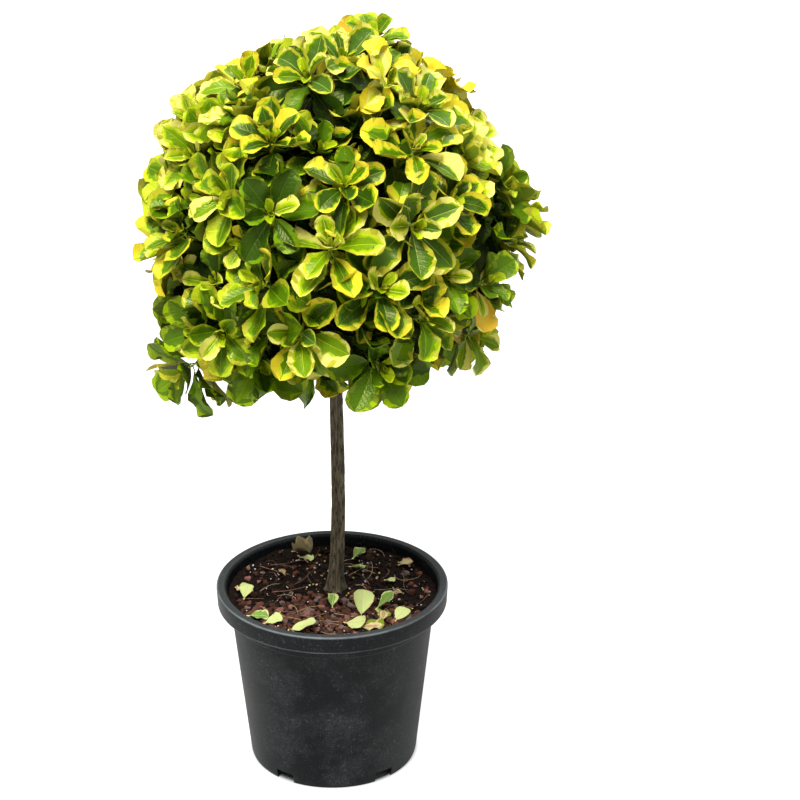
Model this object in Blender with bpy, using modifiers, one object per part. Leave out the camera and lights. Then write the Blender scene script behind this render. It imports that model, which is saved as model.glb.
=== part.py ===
"""A variegated evergreen spindle shrub grown as a standard: a rounded head of leafy shoots on a bare stem, in
a ten-litre nursery pot. Metres, +Z up, with the origin at the centre of the pot's underside and the front of
the plant towards -Y.

The plant stands on the pot. Every limb and every mass of foliage is its own object, and touching pieces keep
GAP between them. The head is shared out among masses, each grown round one core: the core fills the middle of
the mass's own space, shoots stand out of it, and each shoot carries crossed pairs of leaves.
"""

import math
import random
from collections import namedtuple

import bmesh
import bpy
from mathutils import Matrix, Vector

# Clearance between pieces that touch.
GAP = 0.0003

# Pot: a ten-litre moulded container with a turned-down collar and a slotted foot.
POT_RIM_RADIUS = 0.140
POT_BASE_RADIUS = 0.102
POT_HEIGHT = 0.228
POT_WALL = 0.0025
POT_SEGMENTS = 40
RIM_ROUNDING = 0.0030
COLLAR_HEIGHT = 0.022
COLLAR_WIDTH = 0.013
COLLAR_DRAFT = 0.0012
LEDGE_WIDTH = 0.0036
LEDGE_HEIGHT = POT_HEIGHT - 0.019
RIM_LAND = 0.0095
FOOT_HEIGHT = 0.014
FOOT_WALL = 0.0035
FOOT_BEVEL = 0.0012
FOOT_SLOTS = 5
FOOT_SLOT_WIDTH = 0.024
FOOT_SLOT_DEPTH = 0.012
DRAIN_RADIUS = 0.007
DRAIN_RING_RADIUS = 0.072
CENTRE_PAD_RADIUS = 0.022

# Potting soil: its surface lies below the rim and is slightly uneven.
SOIL_BELOW_RIM = 0.012
SOIL_UNEVEN = 0.003
SOIL_RINGS = 4
SOIL_CALM_RADIUS = 0.030
SOIL_TOP = POT_HEIGHT - SOIL_BELOW_RIM

# Trunk: a bare stem that leans a little to the right as it rises.
TRUNK_FOOT = Vector((0.004, 0.006, SOIL_TOP + GAP))
FORK = Vector((0.011, 0.004, 0.572))
TRUNK_FOOT_RADIUS = 0.0150
TRUNK_RADIUS = 0.0088
TRUNK_FORK_RADIUS = 0.0076
TRUNK_SWAY = 0.0022
ROOT_FLARE_HEIGHT = 0.011
FLARE_POINTS = (0.0, 0.012, 0.035, 0.07, 0.12)
STEM_POINTS = 10

# Boughs: one to each mass of foliage, bending upwards out of the trunk.
BOUGH_RADIUS = 0.0040
LEADER_RADIUS = 0.0052
BOUGH_TAPER = 0.62
BOUGH_POINTS = 5
BOUGH_OUT = 0.035
BOUGH_UP = 0.045
LEADER_UP = 0.060
STEM_SHOWS = 0.0040

# Head: a rounded body that holds the furthest leaf tips, fuller below its middle than above it, and rings of
# masses that share it.
HEAD_CENTRE = Vector((0.0060, 0.0, 0.7150))
HEAD_RADII = Vector((0.2310, 0.2270, 0.2170))
FULLNESS_ABOVE = 1.75
FULLNESS_BELOW = 3.40

# Lobes that swell the head, or hollow it where they are negative: the heading of each as azimuth and
# elevation, its height as a share of the way out, and its angular radius.
LOBES = (
    (-73.0, -47.0, 0.17, 15.0),
    (90.0, -10.0, 0.07, 17.0),
    (90.0, 38.0, -0.12, 18.0),
    (-90.0, 63.0, -0.05, 16.0),
    (-96.0, -22.0, -0.09, 14.0),
    (90.0, 78.0, 0.04, 14.0),
    (12.0, -22.0, 0.05, 17.0),
    (150.0, -34.0, 0.07, 16.0),
    (185.0, 12.0, 0.06, 18.0),
    (-140.0, 30.0, -0.05, 18.0),
)
UPPER_MASSES = 5
UPPER_ELEVATION = 30.0
LOWER_MASSES = 6
LOWER_ELEVATION = -24.0
SEAT_SHARE = 0.56
CORE_SHARE = 0.70
CORE_REACH = 0.095
CORE_STEP = 0.003

# How far foliage keeps from borders and limbs.
CORE_MARGIN = 0.0030
BORDER_MARGIN = 0.0006
LIMB_MARGIN = 0.0040
LIMB_ROOM = 0.0008

# Shoots and leaves. Each pair of leaves has its opening from the shoot, in degrees, and its share of full
# size.
SHOOTS = 88
SHOOT_RADIUS = 0.0021
SHOOT_BUTT_RADIUS = 0.0027
SHOOT_START = 0.12
SHOOT_INSET = 0.030
SHOOT_INSET_LESS = 0.008
SHOOT_INSET_MORE = 0.004
BARE_RADIUS = 0.060
PAIRS = ((82.0, 1.0), (58.0, 0.82), (30.0, 0.60))
PAIR_SPACING = 0.007
PAIR_BELOW_TIP = 0.0015
LEAF_LENGTH = 0.060
LEAF_WIDTH = 0.038
LEAF_THICKNESS = 0.0018
LEAF_ROOT_SUNK = 0.0012
LEAF_RIM = ((0.0, 0.0, 0.0), (0.60, 1.0, 0.15), (1.0, 0.0, -0.05), (0.60, -1.0, 0.15))
LEAF_MIDDLE = 0.55
OPENINGS_TRIED = (0.0, 16.0, -16.0, -32.0)
SIZES_TRIED = (1.0, 0.84)
TURNS_TRIED = (0.0, 30.0, 60.0)
GOLDEN_ANGLE = math.radians(137.508)
SEED = 52001

UP = Vector((0.0, 0.0, 1.0))


def direction(azimuth_deg, elevation_deg):
    """A unit vector: azimuth 0 points to the front, -Y, and 90 to the right, +X."""
    azimuth, elevation = math.radians(azimuth_deg), math.radians(elevation_deg)
    level = math.cos(elevation)
    return Vector((math.sin(azimuth) * level, -math.cos(azimuth) * level, math.sin(elevation)))


# ---------------------------------------------------------------- scene, materials and meshes


def clear_scene():
    for obj in list(bpy.data.objects):
        bpy.data.objects.remove(obj)


def new_collection(name):
    collection = bpy.data.collections.new(name)
    bpy.context.scene.collection.children.link(collection)
    return collection


def material(name, colour, roughness, metallic=0.0):
    made = bpy.data.materials.new(name)
    made.use_nodes = True
    shader = made.node_tree.nodes["Principled BSDF"]
    shader.inputs["Base Color"].default_value = (*colour, 1.0)
    shader.inputs["Roughness"].default_value = roughness
    shader.inputs["Metallic"].default_value = metallic
    return made


def add_object(name, data, collection, finish=None):
    obj = bpy.data.objects.new(name, data)
    collection.objects.link(obj)
    if finish is not None:
        data.materials.append(finish)
    return obj


def shell_volume(faces):
    """Six times the volume that a shell's faces enclose, negative where they face inwards."""
    total = 0.0
    for face in faces:
        first = face.verts[0].co
        for second, third in zip(face.verts[1:], face.verts[2:]):
            total += first.dot(second.co.cross(third.co))
    return total


def write_shell(bm, mesh):
    """Writes one closed shell to a mesh, with its faces turned outwards, and frees it."""
    if shell_volume(bm.faces) < 0.0:
        bmesh.ops.reverse_faces(bm, faces=bm.faces)
    bm.to_mesh(mesh)
    bm.free()


def mesh_from_bmesh(name, bm):
    mesh = bpy.data.meshes.new(name)
    write_shell(bm, mesh)
    return mesh


def as_mesh(obj, collection, finish, weld=True):
    """Replaces a curve or a modified object by the mesh that it shows. A curve's caps are welded on."""
    bpy.context.view_layer.update()
    graph = bpy.context.evaluated_depsgraph_get()
    mesh = bpy.data.meshes.new_from_object(obj.evaluated_get(graph))
    if weld:
        bm = bmesh.new()
        bm.from_mesh(mesh)
        bmesh.ops.remove_doubles(bm, verts=bm.verts, dist=1e-6)
        bm.to_mesh(mesh)
        bm.free()
    name, place = obj.name, obj.matrix_world.copy()
    bpy.data.objects.remove(obj)
    mesh.materials.clear()
    made = add_object(name, mesh, collection, finish)
    made.matrix_world = place
    return made


def keep_largest_shell(mesh):
    """Drops loose scraps and fills sealed hollows."""
    bm = bmesh.new()
    bm.from_mesh(mesh)
    waiting = set(bm.faces)
    shells = []
    while waiting:
        shell = [waiting.pop()]
        for face in shell:
            for edge in face.edges:
                neighbours = edge.link_faces if len(edge.link_faces) == 2 else ()
                for neighbour in neighbours:
                    if neighbour in waiting:
                        waiting.remove(neighbour)
                        shell.append(neighbour)
        shells.append(shell)
    shells.sort(key=shell_volume)
    stray = [face for shell in shells[:-1] for face in shell]
    bmesh.ops.delete(bm, geom=stray, context="FACES")
    bm.to_mesh(mesh)
    bm.free()


def boolean(obj, operation, other, solver="EXACT"):
    """Adds a Boolean modifier with an object, or with all the objects of a collection."""
    modifier = obj.modifiers.new(operation.title(), "BOOLEAN")
    modifier.operation = operation
    modifier.solver = solver
    if isinstance(other, bpy.types.Collection):
        modifier.operand_type = "COLLECTION"
        modifier.collection = other
    else:
        modifier.object = other


def shade_round(obj, angle_deg=35.0):
    obj.data.shade_smooth()
    obj.data.set_sharp_from_angle(angle=math.radians(angle_deg))


def turned(name, profile, collection, finish):
    """A profile of (radius, height) from the axis, down its outer side and back to the axis, or round to its
    start.
    """
    on_axis = profile[0][0] == 0.0 and profile[-1][0] == 0.0
    bm = bmesh.new()
    verts = [bm.verts.new((radius, 0.0, height)) for radius, height in profile]
    for first, second in zip(verts, verts[1:] if on_axis else verts[1:] + verts[:1]):
        bm.edges.new((first, second))
    mesh = bpy.data.meshes.new(name)
    bm.to_mesh(mesh)
    bm.free()
    obj = add_object(name, mesh, collection)
    screw = obj.modifiers.new("Turn", "SCREW")
    screw.axis = "Z"
    screw.steps = screw.render_steps = POT_SEGMENTS
    screw.use_merge_vertices = True
    screw.merge_threshold = 1e-5
    made = as_mesh(obj, collection, finish)
    bm = bmesh.new()
    bm.from_mesh(made.data)
    write_shell(bm, made.data)
    return made


# ---------------------------------------------------------------- pot and soil


def wall_radius(height):
    """The pot wall's outer radius at a height. It stands out behind the collar, with a ledge inside."""
    top = POT_RIM_RADIUS - COLLAR_WIDTH
    ledge = LEDGE_WIDTH if height > LEDGE_HEIGHT else 0.0
    return POT_BASE_RADIUS + (top - POT_BASE_RADIUS) * height / POT_HEIGHT + ledge


def inner_radius(height):
    return wall_radius(height) - POT_WALL


def pot_profile():
    """Down the collar and wall to the foot, round the raised floor and its centre pad, and up the inside."""
    rim, top = POT_RIM_RADIUS, POT_HEIGHT
    skirt = top - COLLAR_HEIGHT
    under_lip = top - POT_WALL * 1.8
    ledge = LEDGE_HEIGHT + POT_WALL * 0.8
    floor = FOOT_HEIGHT
    foot = POT_BASE_RADIUS - FOOT_BEVEL
    return [
        (rim, top - RIM_ROUNDING),
        (rim - COLLAR_DRAFT, skirt),
        (rim - COLLAR_DRAFT - POT_WALL, skirt),
        (rim - COLLAR_DRAFT - POT_WALL, under_lip),
        (wall_radius(under_lip), under_lip),
        (wall_radius(ledge), ledge),
        (wall_radius(LEDGE_HEIGHT), LEDGE_HEIGHT),
        (wall_radius(FOOT_BEVEL * 3), FOOT_BEVEL * 3),
        (foot, 0.0),
        (foot - FOOT_WALL, 0.0),
        (POT_BASE_RADIUS - FOOT_WALL, floor),
        (CENTRE_PAD_RADIUS + 0.004, floor),
        (CENTRE_PAD_RADIUS, 0.0),
        (0.0, 0.0),
        (0.0, floor + POT_WALL),
        (inner_radius(floor) - 0.004, floor + POT_WALL),
        (inner_radius(floor + 0.008), floor + 0.008),
        (inner_radius(LEDGE_HEIGHT), ledge),
        (inner_radius(ledge), ledge),
        (inner_radius(top - RIM_ROUNDING), top - RIM_ROUNDING),
        (rim - RIM_LAND, top),
        (rim - RIM_ROUNDING, top),
        (rim - RIM_ROUNDING * 0.3, top - RIM_ROUNDING * 0.3),
    ]


def slot_azimuths():
    """The foot slots stand evenly round the pot, with the front between two of them."""
    step = 360.0 / FOOT_SLOTS
    return [step * (index + 0.5) for index in range(FOOT_SLOTS)]


def add_slot_cutter(name, azimuth_deg, collection):
    """A box as high as the foot's inside that runs through the foot's wall."""
    height = FOOT_HEIGHT - POT_WALL / 2
    size = (FOOT_SLOT_WIDTH, FOOT_SLOT_DEPTH, height * 2)
    bm = bmesh.new()
    bmesh.ops.create_cube(bm, size=1.0, matrix=Matrix.Diagonal((*size, 1.0)))
    obj = add_object(name, mesh_from_bmesh(name, bm), collection)
    obj.location = direction(azimuth_deg, 0.0) * (POT_BASE_RADIUS - FOOT_WALL / 2)
    obj.rotation_euler = (0.0, 0.0, math.radians(azimuth_deg))


def add_drain_cutter(name, azimuth_deg, collection):
    bm = bmesh.new()
    bmesh.ops.create_cone(
        bm, cap_ends=True, segments=12, radius1=DRAIN_RADIUS, radius2=DRAIN_RADIUS, depth=FOOT_HEIGHT
    )
    obj = add_object(name, mesh_from_bmesh(name, bm), collection)
    obj.location = direction(azimuth_deg, 0.0) * DRAIN_RING_RADIUS + UP * FOOT_HEIGHT


def build_pot(collection, cutters, finish):
    pot = turned("pot", pot_profile(), collection, finish)
    for number, azimuth in enumerate(slot_azimuths(), start=1):
        add_slot_cutter(f"slot_cutter_{number}", azimuth, cutters)
        add_drain_cutter(f"drain_cutter_{number}", azimuth, cutters)
    boolean(pot, "DIFFERENCE", cutters)
    shade_round(pot)


def soil_height(x, y):
    """Gentle unevenness of the soil, calm round the trunk's foot."""
    away = math.hypot(x - TRUNK_FOOT.x, y - TRUNK_FOOT.y)
    calm = min(1.0, max(0.0, (away - SOIL_CALM_RADIUS) / SOIL_CALM_RADIUS))
    wave = math.sin(41.0 * x + 1.3) * math.cos(37.0 * y - 0.4) + 0.5 * math.sin(73.0 * x + 61.0 * y)
    return SOIL_TOP + calm * SOIL_UNEVEN * (wave / 1.5 - 0.35)


def build_soil(collection, finish):
    """The soil is turned from its profile, and its flat top is then moved up and down."""
    low = FOOT_HEIGHT + POT_WALL + GAP
    side = GAP * 2
    brink = inner_radius(SOIL_TOP) - side - 0.001
    profile = [(brink * index / SOIL_RINGS, SOIL_TOP) for index in range(SOIL_RINGS + 1)]
    ledge = LEDGE_HEIGHT + POT_WALL * 0.8 + side
    profile += [
        (inner_radius(ledge) - side, ledge),
        (inner_radius(LEDGE_HEIGHT) - side, ledge),
        (inner_radius(low + 0.008) - side, low + 0.008),
        (inner_radius(low) - side - 0.006, low),
        (0.0, low),
    ]
    soil = turned("potting_soil", profile, collection, finish)
    for vertex in soil.data.vertices:
        if vertex.co.z > SOIL_TOP - 0.001:
            vertex.co.z = soil_height(vertex.co.x, vertex.co.y)
    shade_round(soil, 60.0)


# ---------------------------------------------------------------- limbs


class Limb:
    """A tapering line of points with a radius at each."""

    def __init__(self, points, radii):
        self.points = points
        self.radii = radii

    def clearance(self, place):
        """The distance from a place to the limb's surface."""
        nearest = math.inf
        ends = list(zip(self.points, self.radii))
        for (first, radius_1), (second, radius_2) in zip(ends, ends[1:]):
            along = second - first
            share = (place - first).dot(along) / along.length_squared
            share = min(1.0, max(0.0, share))
            away = (place - first - along * share).length
            nearest = min(nearest, away - radius_1 - (radius_2 - radius_1) * share)
        return nearest


def tube(name, limb, collection, finish, resolution=1, swell=0.0):
    """A limb as a bevelled poly curve made a mesh, swollen all over where asked."""
    points = list(limb.points)
    points[0] = points[0] - (points[1] - points[0]).normalized() * swell
    points[-1] = points[-1] + (points[-1] - points[-2]).normalized() * swell
    curve = bpy.data.curves.new(name, "CURVE")
    curve.dimensions = "3D"
    curve.bevel_depth = 1.0
    curve.bevel_resolution = resolution
    curve.use_fill_caps = True
    spline = curve.splines.new("POLY")
    spline.points.add(len(points) - 1)
    for place, point, radius in zip(spline.points, points, limb.radii):
        place.co = (*point, 1.0)
        place.radius = radius + swell
    return as_mesh(add_object(name, curve, collection), collection, finish)


def trunk_point(share):
    """The trunk's centre line, from foot (0) to fork (1), with a slight sway. Its foot stands upright."""
    sway = math.sin(share * math.tau * 0.9) * TRUNK_SWAY * min(1.0, share * 8.0)
    place = TRUNK_FOOT.lerp(FORK, share) + Vector((sway, sway * 0.6, 0.0))
    if share <= FLARE_POINTS[1]:
        place.xy = TRUNK_FOOT.xy
    return place


def trunk_radius(share):
    height = (FORK.z - TRUNK_FOOT.z) * share
    flare = math.exp(-height / ROOT_FLARE_HEIGHT)
    slim = TRUNK_RADIUS + (TRUNK_FORK_RADIUS - TRUNK_RADIUS) * share
    return slim + (TRUNK_FOOT_RADIUS - TRUNK_RADIUS) * flare


def trunk_limb():
    last = FLARE_POINTS[-1]
    shares = list(FLARE_POINTS)
    shares += [last + (1.0 - last) * (index + 1) / STEM_POINTS for index in range(STEM_POINTS)]
    return Limb([trunk_point(share) for share in shares], [trunk_radius(share) for share in shares])


# ---------------------------------------------------------------- the head's masses and their boughs


def lobe_scale(away):
    """How far the lobes swell the head in a direction from its centre, as a share of the rounded body."""
    swell = 1.0
    for azimuth, elevation, height, radius_deg in LOBES:
        turn = away.angle(direction(azimuth, elevation), 0.0) / math.radians(radius_deg)
        swell += height * math.exp(-turn * turn)
    return swell


def outline_scale(place):
    """How far out a place lies in the head: 0 at its centre and 1 at its outline."""
    away = place - HEAD_CENTRE
    level = math.hypot(away.x / HEAD_RADII.x, away.y / HEAD_RADII.y)
    fullness = FULLNESS_ABOVE if away.z > 0.0 else FULLNESS_BELOW
    rounded = (level**fullness + abs(away.z / HEAD_RADII.z) ** fullness) ** (1.0 / fullness)
    return rounded / lobe_scale(away)


def to_outline(start, heading, share):
    """The distance from start, along heading, to the head's outline shrunk to share."""
    near, far = 0.0, HEAD_RADII.length * 2
    for _ in range(30):
        middle = (near + far) / 2
        if outline_scale(start + heading * middle) < share:
            near = middle
        else:
            far = middle
    return near


class Mass:
    """One mass of foliage: its heading from the head's centre, its seat and the bough that carries it."""

    def __init__(self, label, azimuth, elevation, leaves_trunk_at):
        self.label = label
        self.heading = direction(azimuth, elevation)
        self.seat = HEAD_CENTRE + self.heading * to_outline(HEAD_CENTRE, self.heading, SEAT_SHARE)
        self.leaves_trunk_at = leaves_trunk_at
        self.bough = None

    @property
    def is_leader(self):
        return self.leaves_trunk_at >= 1.0


def head_masses():
    """One mass on top, a ring above the middle and a ring below it, on boughs that leave the trunk at various
    heights.
    """
    masses = [Mass("top", 0.0, 90.0, 1.0)]
    for index in range(UPPER_MASSES):
        azimuth = 360.0 * (index + 0.5) / UPPER_MASSES
        leaves_at = 0.955 - 0.0175 * (index * 2 % UPPER_MASSES)
        masses.append(Mass(f"upper_{index + 1}", azimuth, UPPER_ELEVATION, leaves_at))
    for index in range(LOWER_MASSES):
        azimuth = 360.0 * index / LOWER_MASSES
        leaves_at = 0.840 - 0.030 * (index % 2)
        masses.append(Mass(f"lower_{index + 1}", azimuth, LOWER_ELEVATION, leaves_at))
    return masses


def bough_line(mass):
    """A curve from inside the trunk, or from its fork, to the seat of the mass."""
    start = trunk_point(mass.leaves_trunk_at)
    level = Vector((mass.heading.x, mass.heading.y, 0.0))
    if mass.is_leader:
        start = start + UP * GAP
        handle = start + UP * LEADER_UP
    else:
        handle = start + level.normalized() * BOUGH_OUT + UP * BOUGH_UP
    line = []
    for index in range(25):
        share = index / 24
        line.append(start.lerp(handle, share).lerp(handle.lerp(mass.seat, share), share))
    return line


def borders(mass, masses):
    """The planes half-way to every other mass's seat, as a point and the direction that leaves this space."""
    for other in masses:
        if other is not mass:
            yield (mass.seat + other.seat) / 2, (other.seat - mass.seat).normalized()


def core_reach(mass, masses, limbs, heading):
    """How far the core of a mass may reach along a heading and stay in the mass's own space."""
    reach = min(CORE_REACH, to_outline(mass.seat, heading, CORE_SHARE))
    for point, outward in borders(mass, masses):
        facing = heading.dot(outward)
        if facing > 0.05:
            reach = min(reach, ((point - mass.seat).length - CORE_MARGIN) / facing)
    clear = CORE_STEP
    while clear < reach:
        place = mass.seat + heading * clear
        if min(limb.clearance(place) for limb in limbs) < LIMB_MARGIN:
            return max(CORE_STEP, clear - CORE_STEP)
        clear += CORE_STEP
    return reach


def plan_boughs(masses, trunk):
    """Each bough runs along its line until it is STEM_SHOWS short of where its mass's core begins."""
    lines = [bough_line(mass) for mass in masses]
    for mass, line in zip(masses, lines):
        others = [trunk] + [Limb(other, [BOUGH_RADIUS] * len(other)) for other in lines if other is not line]
        inward = (line[-6] - mass.seat).normalized()
        stop = core_reach(mass, masses, others, inward) + STEM_SHOWS
        kept = [point for point in line if (point - mass.seat).length > stop]
        if not mass.is_leader:
            kept = [point for point in kept if trunk.clearance(point) > -TRUNK_FORK_RADIUS * 0.6]
        step = (len(kept) - 1) / (BOUGH_POINTS - 1)
        points = [kept[round(index * step)] for index in range(BOUGH_POINTS)]
        butt = LEADER_RADIUS if mass.is_leader else BOUGH_RADIUS
        slimmer = (1.0 - BOUGH_TAPER) / (BOUGH_POINTS - 1)
        mass.bough = Limb(points, [butt * (1.0 - slimmer * index) for index in range(BOUGH_POINTS)])


def build_boughs(masses, trunk, cutters, collection, finish):
    """Each bough is cut back from the trunk's side, GAP clear of it."""
    clear_trunk = tube("room_beside_trunk", trunk, cutters, None, resolution=3, swell=GAP)
    for mass in masses:
        bough = tube(f"bough_{mass.label}", mass.bough, collection, finish)
        if not mass.is_leader:
            boolean(bough, "DIFFERENCE", clear_trunk)
        shade_round(bough, 60.0)


# ---------------------------------------------------------------- foliage


def limbs_round(mass, masses, trunk):
    """The trunk and every other bough, run on through its stem to its mass's seat."""
    others = [other for other in masses if other is not mass]
    reaches = []
    for other in others:
        reaches.append(Limb(other.bough.points + [other.seat], other.bough.radii + [SHOOT_RADIUS]))
    return [trunk] + reaches


def in_own_space(mass, masses, limbs, place):
    """True if a place lies in the mass's share of the head, inside the outline and clear of the limbs."""
    if outline_scale(place) > 1.0:
        return False
    if any((place - point).dot(outward) > -BORDER_MARGIN for point, outward in borders(mass, masses)):
        return False
    return min(limb.clearance(place) for limb in limbs) > LIMB_MARGIN / 2


def pulled_inside(mass, masses, place, margin):
    """The place itself, or where it ends when it is moved back over each border that it is too near to."""
    for point, outward in borders(mass, masses):
        beyond = (place - point).dot(outward) + margin
        if beyond > 0.0:
            place = place - outward * beyond
    return place


def core_object(mass, masses, limbs, collection):
    """A ball whose points are pulled to the edge of the mass's own space."""
    bm = bmesh.new()
    bmesh.ops.create_icosphere(bm, subdivisions=2, radius=1.0)
    for vertex in bm.verts:
        heading = vertex.co.normalized()
        vertex.co = mass.seat + heading * core_reach(mass, masses, limbs, heading)
    return add_object(f"foliage_{mass.label}", mesh_from_bmesh("core", bm), collection)


def cut_clear(core, limbs, cutters):
    """Cuts the room that the limbs need out of a core."""
    for number, limb in enumerate(limbs):
        room = tube(f"room_{core.name}_{number}", limb, cutters, None, swell=LIMB_ROOM)
        boolean(core, "DIFFERENCE", room, solver="MANIFOLD")


def spike(name, start, end, radius_start, radius_end, sides, workshop):
    """A straight tapering twig from start to end."""
    along = end - start
    place = Matrix.Translation((start + end) / 2) @ along.to_track_quat("Z", "Y").to_matrix().to_4x4()
    bm = bmesh.new()
    bmesh.ops.create_cone(
        bm,
        cap_ends=True,
        segments=sides,
        radius1=radius_start,
        radius2=radius_end,
        depth=along.length,
        matrix=place,
    )
    return add_object(name, mesh_from_bmesh(name, bm), workshop)


def leaf_points(root, heading, facing, length, width):
    """A leaf's four rim points, from root to tip and back, then a point over its middle and one under it."""
    across = heading.cross(facing).normalized()
    normal = across.cross(heading).normalized()
    points = []
    for along, side, lift in LEAF_RIM:
        level = heading * (along * length) + across * (side * width / 2)
        points.append(root + level + normal * (lift * width))
    middle = root + heading * (LEAF_MIDDLE * length)
    return points + [middle + normal * (LEAF_THICKNESS / 2), middle - normal * (LEAF_THICKNESS / 2)]


def leaf_object(name, points, workshop):
    """A four-sided double pyramid whose rim and poles are moved to the leaf's points."""
    bm = bmesh.new()
    bmesh.ops.create_uvsphere(bm, u_segments=4, v_segments=2, radius=1.0)
    for vertex in bm.verts:
        if abs(vertex.co.z) > 0.5:
            vertex.co = points[4] if vertex.co.z > 0 else points[5]
        else:
            vertex.co = points[round(math.atan2(vertex.co.y, vertex.co.x) / (math.tau / 4)) % 4]
    return add_object(name, mesh_from_bmesh(name, bm), workshop)


Shoot = namedtuple("Shoot", "number mass start tip axis side")


def shoot_headings():
    """Headings from the head's centre, spread evenly all round by the golden angle."""
    for index in range(SHOOTS):
        rise = 1.0 - 2.0 * (index + 0.5) / SHOOTS
        level = math.sqrt(1.0 - rise * rise)
        turn = index * GOLDEN_ANGLE
        yield Vector((math.cos(turn) * level, math.sin(turn) * level, rise))


def plan_shoots(masses):
    """Every shoot of the head, with the mass that it grows from. A ring round the trunk stays bare."""
    planned = []
    for number, heading in enumerate(shoot_headings()):
        rng = random.Random(SEED + number)
        inset = SHOOT_INSET + rng.uniform(-SHOOT_INSET_LESS, SHOOT_INSET_MORE)
        tip = HEAD_CENTRE + heading * (to_outline(HEAD_CENTRE, heading, 1.0) - inset)
        beside_trunk = math.hypot(tip.x - FORK.x, tip.y - FORK.y) < BARE_RADIUS and tip.z < HEAD_CENTRE.z
        if beside_trunk:
            continue
        mass = min(masses, key=lambda each: (each.seat - tip).length)
        tip = pulled_inside(mass, masses, tip, SHOOT_BUTT_RADIUS)
        start = mass.seat.lerp(tip, SHOOT_START)
        axis = (tip - start).normalized()
        side = Matrix.Rotation(rng.uniform(0.0, math.tau), 3, axis) @ axis.orthogonal().normalized()
        planned.append(Shoot(number, mass, start, tip, axis, side))
    return planned


def fitting_leaf(shoot, node, outward, spread_deg, size, masses, limbs):
    """The points of a leaf that keeps to the mass's space, turned or shortened a little to fit, or None."""
    for shorter in SIZES_TRIED:
        for opened_deg in OPENINGS_TRIED:
            tilt = math.radians(spread_deg + opened_deg)
            out = (shoot.axis * math.cos(tilt) + outward * math.sin(tilt)).normalized()
            length, width = LEAF_LENGTH * size * shorter, LEAF_WIDTH * size * shorter
            points = leaf_points(node - out * LEAF_ROOT_SUNK, out, shoot.axis, length, width)
            if all(in_own_space(shoot.mass, masses, limbs, point) for point in points):
                return points
    return None


def shoot_leaves(shoot, turn, masses, limbs):
    """Every leaf that fits a shoot: crossed pairs that get smaller and more upright towards the tip."""
    side = Matrix.Rotation(turn, 3, shoot.axis) @ shoot.side
    found = []
    for pair, (spread_deg, size) in enumerate(PAIRS):
        node = shoot.tip - shoot.axis * (PAIR_SPACING * (len(PAIRS) - 1 - pair) + PAIR_BELOW_TIP)
        outward = Matrix.Rotation(pair * math.pi / 2, 3, shoot.axis) @ side
        for sign in (1.0, -1.0):
            found.append(fitting_leaf(shoot, node, outward * sign, spread_deg, size, masses, limbs))
    return [points for points in found if points]


def grow_shoot(shoot, masses, limbs, workshop):
    """A twig out of the core with its leaves, turned to where most of them fit, unless it meets a limb."""
    along = [shoot.start.lerp(shoot.tip, index / 12) for index in range(13)]
    if any(limb.clearance(place) < LIMB_MARGIN for limb in limbs for place in along):
        return
    choices = [shoot_leaves(shoot, math.radians(turn), masses, limbs) for turn in TURNS_TRIED]
    leaves = max(choices, key=len)
    for index, points in enumerate(leaves):
        leaf_object(f"leaf_{shoot.number}_{index}", points, workshop)
    if leaves:
        name = f"shoot_{shoot.number}"
        spike(name, shoot.start, shoot.tip, SHOOT_BUTT_RADIUS, SHOOT_RADIUS, 3, workshop)


def build_mass(mass, masses, shoots, trunk, cutters, collection, finish):
    """The core, cut clear of the limbs, with the stem that meets the bough and every shoot, as one solid."""
    workshop = new_collection(f"workshop_{mass.label}")
    limbs = limbs_round(mass, masses, trunk)
    core = core_object(mass, masses, limbs, collection)
    limbs.append(mass.bough)
    cut_clear(core, [limb for limb in limbs if limb.clearance(mass.seat) < CORE_REACH], cutters)
    last, end = mass.bough.points[-2:]
    stem_start = end + (end - last).normalized() * GAP
    spike(f"stem_{mass.label}", stem_start, mass.seat, mass.bough.radii[-1], SHOOT_RADIUS, 8, workshop)
    for shoot in shoots:
        if shoot.mass is mass:
            grow_shoot(shoot, masses, limbs, workshop)
    boolean(core, "UNION", workshop, solver="MANIFOLD")
    made = as_mesh(core, collection, finish, weld=False)
    keep_largest_shell(made.data)
    for obj in list(workshop.objects):
        bpy.data.objects.remove(obj)
    bpy.data.collections.remove(workshop)


def hide_cutters(collection):
    for obj in collection.objects:
        obj.hide_render = True
        obj.display_type = "WIRE"


def build():
    clear_scene()
    plant = new_collection("standard_evergreen_in_pot")
    pot_cutters = new_collection("pot_cutters")
    limb_cutters = new_collection("limb_cutters")
    black_plastic = material("black_plastic", (0.022, 0.025, 0.028), 0.55)
    peat = material("peat", (0.045, 0.026, 0.018), 0.95)
    bark = material("bark", (0.130, 0.095, 0.062), 0.85)
    leafage = material("leafage", (0.240, 0.330, 0.035), 0.45)

    build_pot(plant, pot_cutters, black_plastic)
    build_soil(plant, peat)
    trunk = trunk_limb()
    shade_round(tube("trunk", trunk, plant, bark, resolution=3), 60.0)
    masses = head_masses()
    plan_boughs(masses, trunk)
    build_boughs(masses, trunk, limb_cutters, plant, bark)
    shoots = plan_shoots(masses)
    for mass in masses:
        build_mass(mass, masses, shoots, trunk, limb_cutters, plant, leafage)
    hide_cutters(pot_cutters)
    hide_cutters(limb_cutters)


build()
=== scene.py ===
"""The looks of a golden variegated spindle grown as a standard in a ten-litre nursery pot.

It is laid out as a Blender add-on, in metres, +Z up, with the origin under the middle of the pot
and the front of the plant towards -Y. Every operator makes one piece, or a group of like pieces,
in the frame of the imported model, which is loaded first.
"""

import math
import random
from collections import namedtuple

import bmesh
import bpy
import numpy as np
from bpy.props import FloatProperty, FloatVectorProperty, IntProperty, PointerProperty
from mathutils import Matrix, Vector, noise


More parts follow.
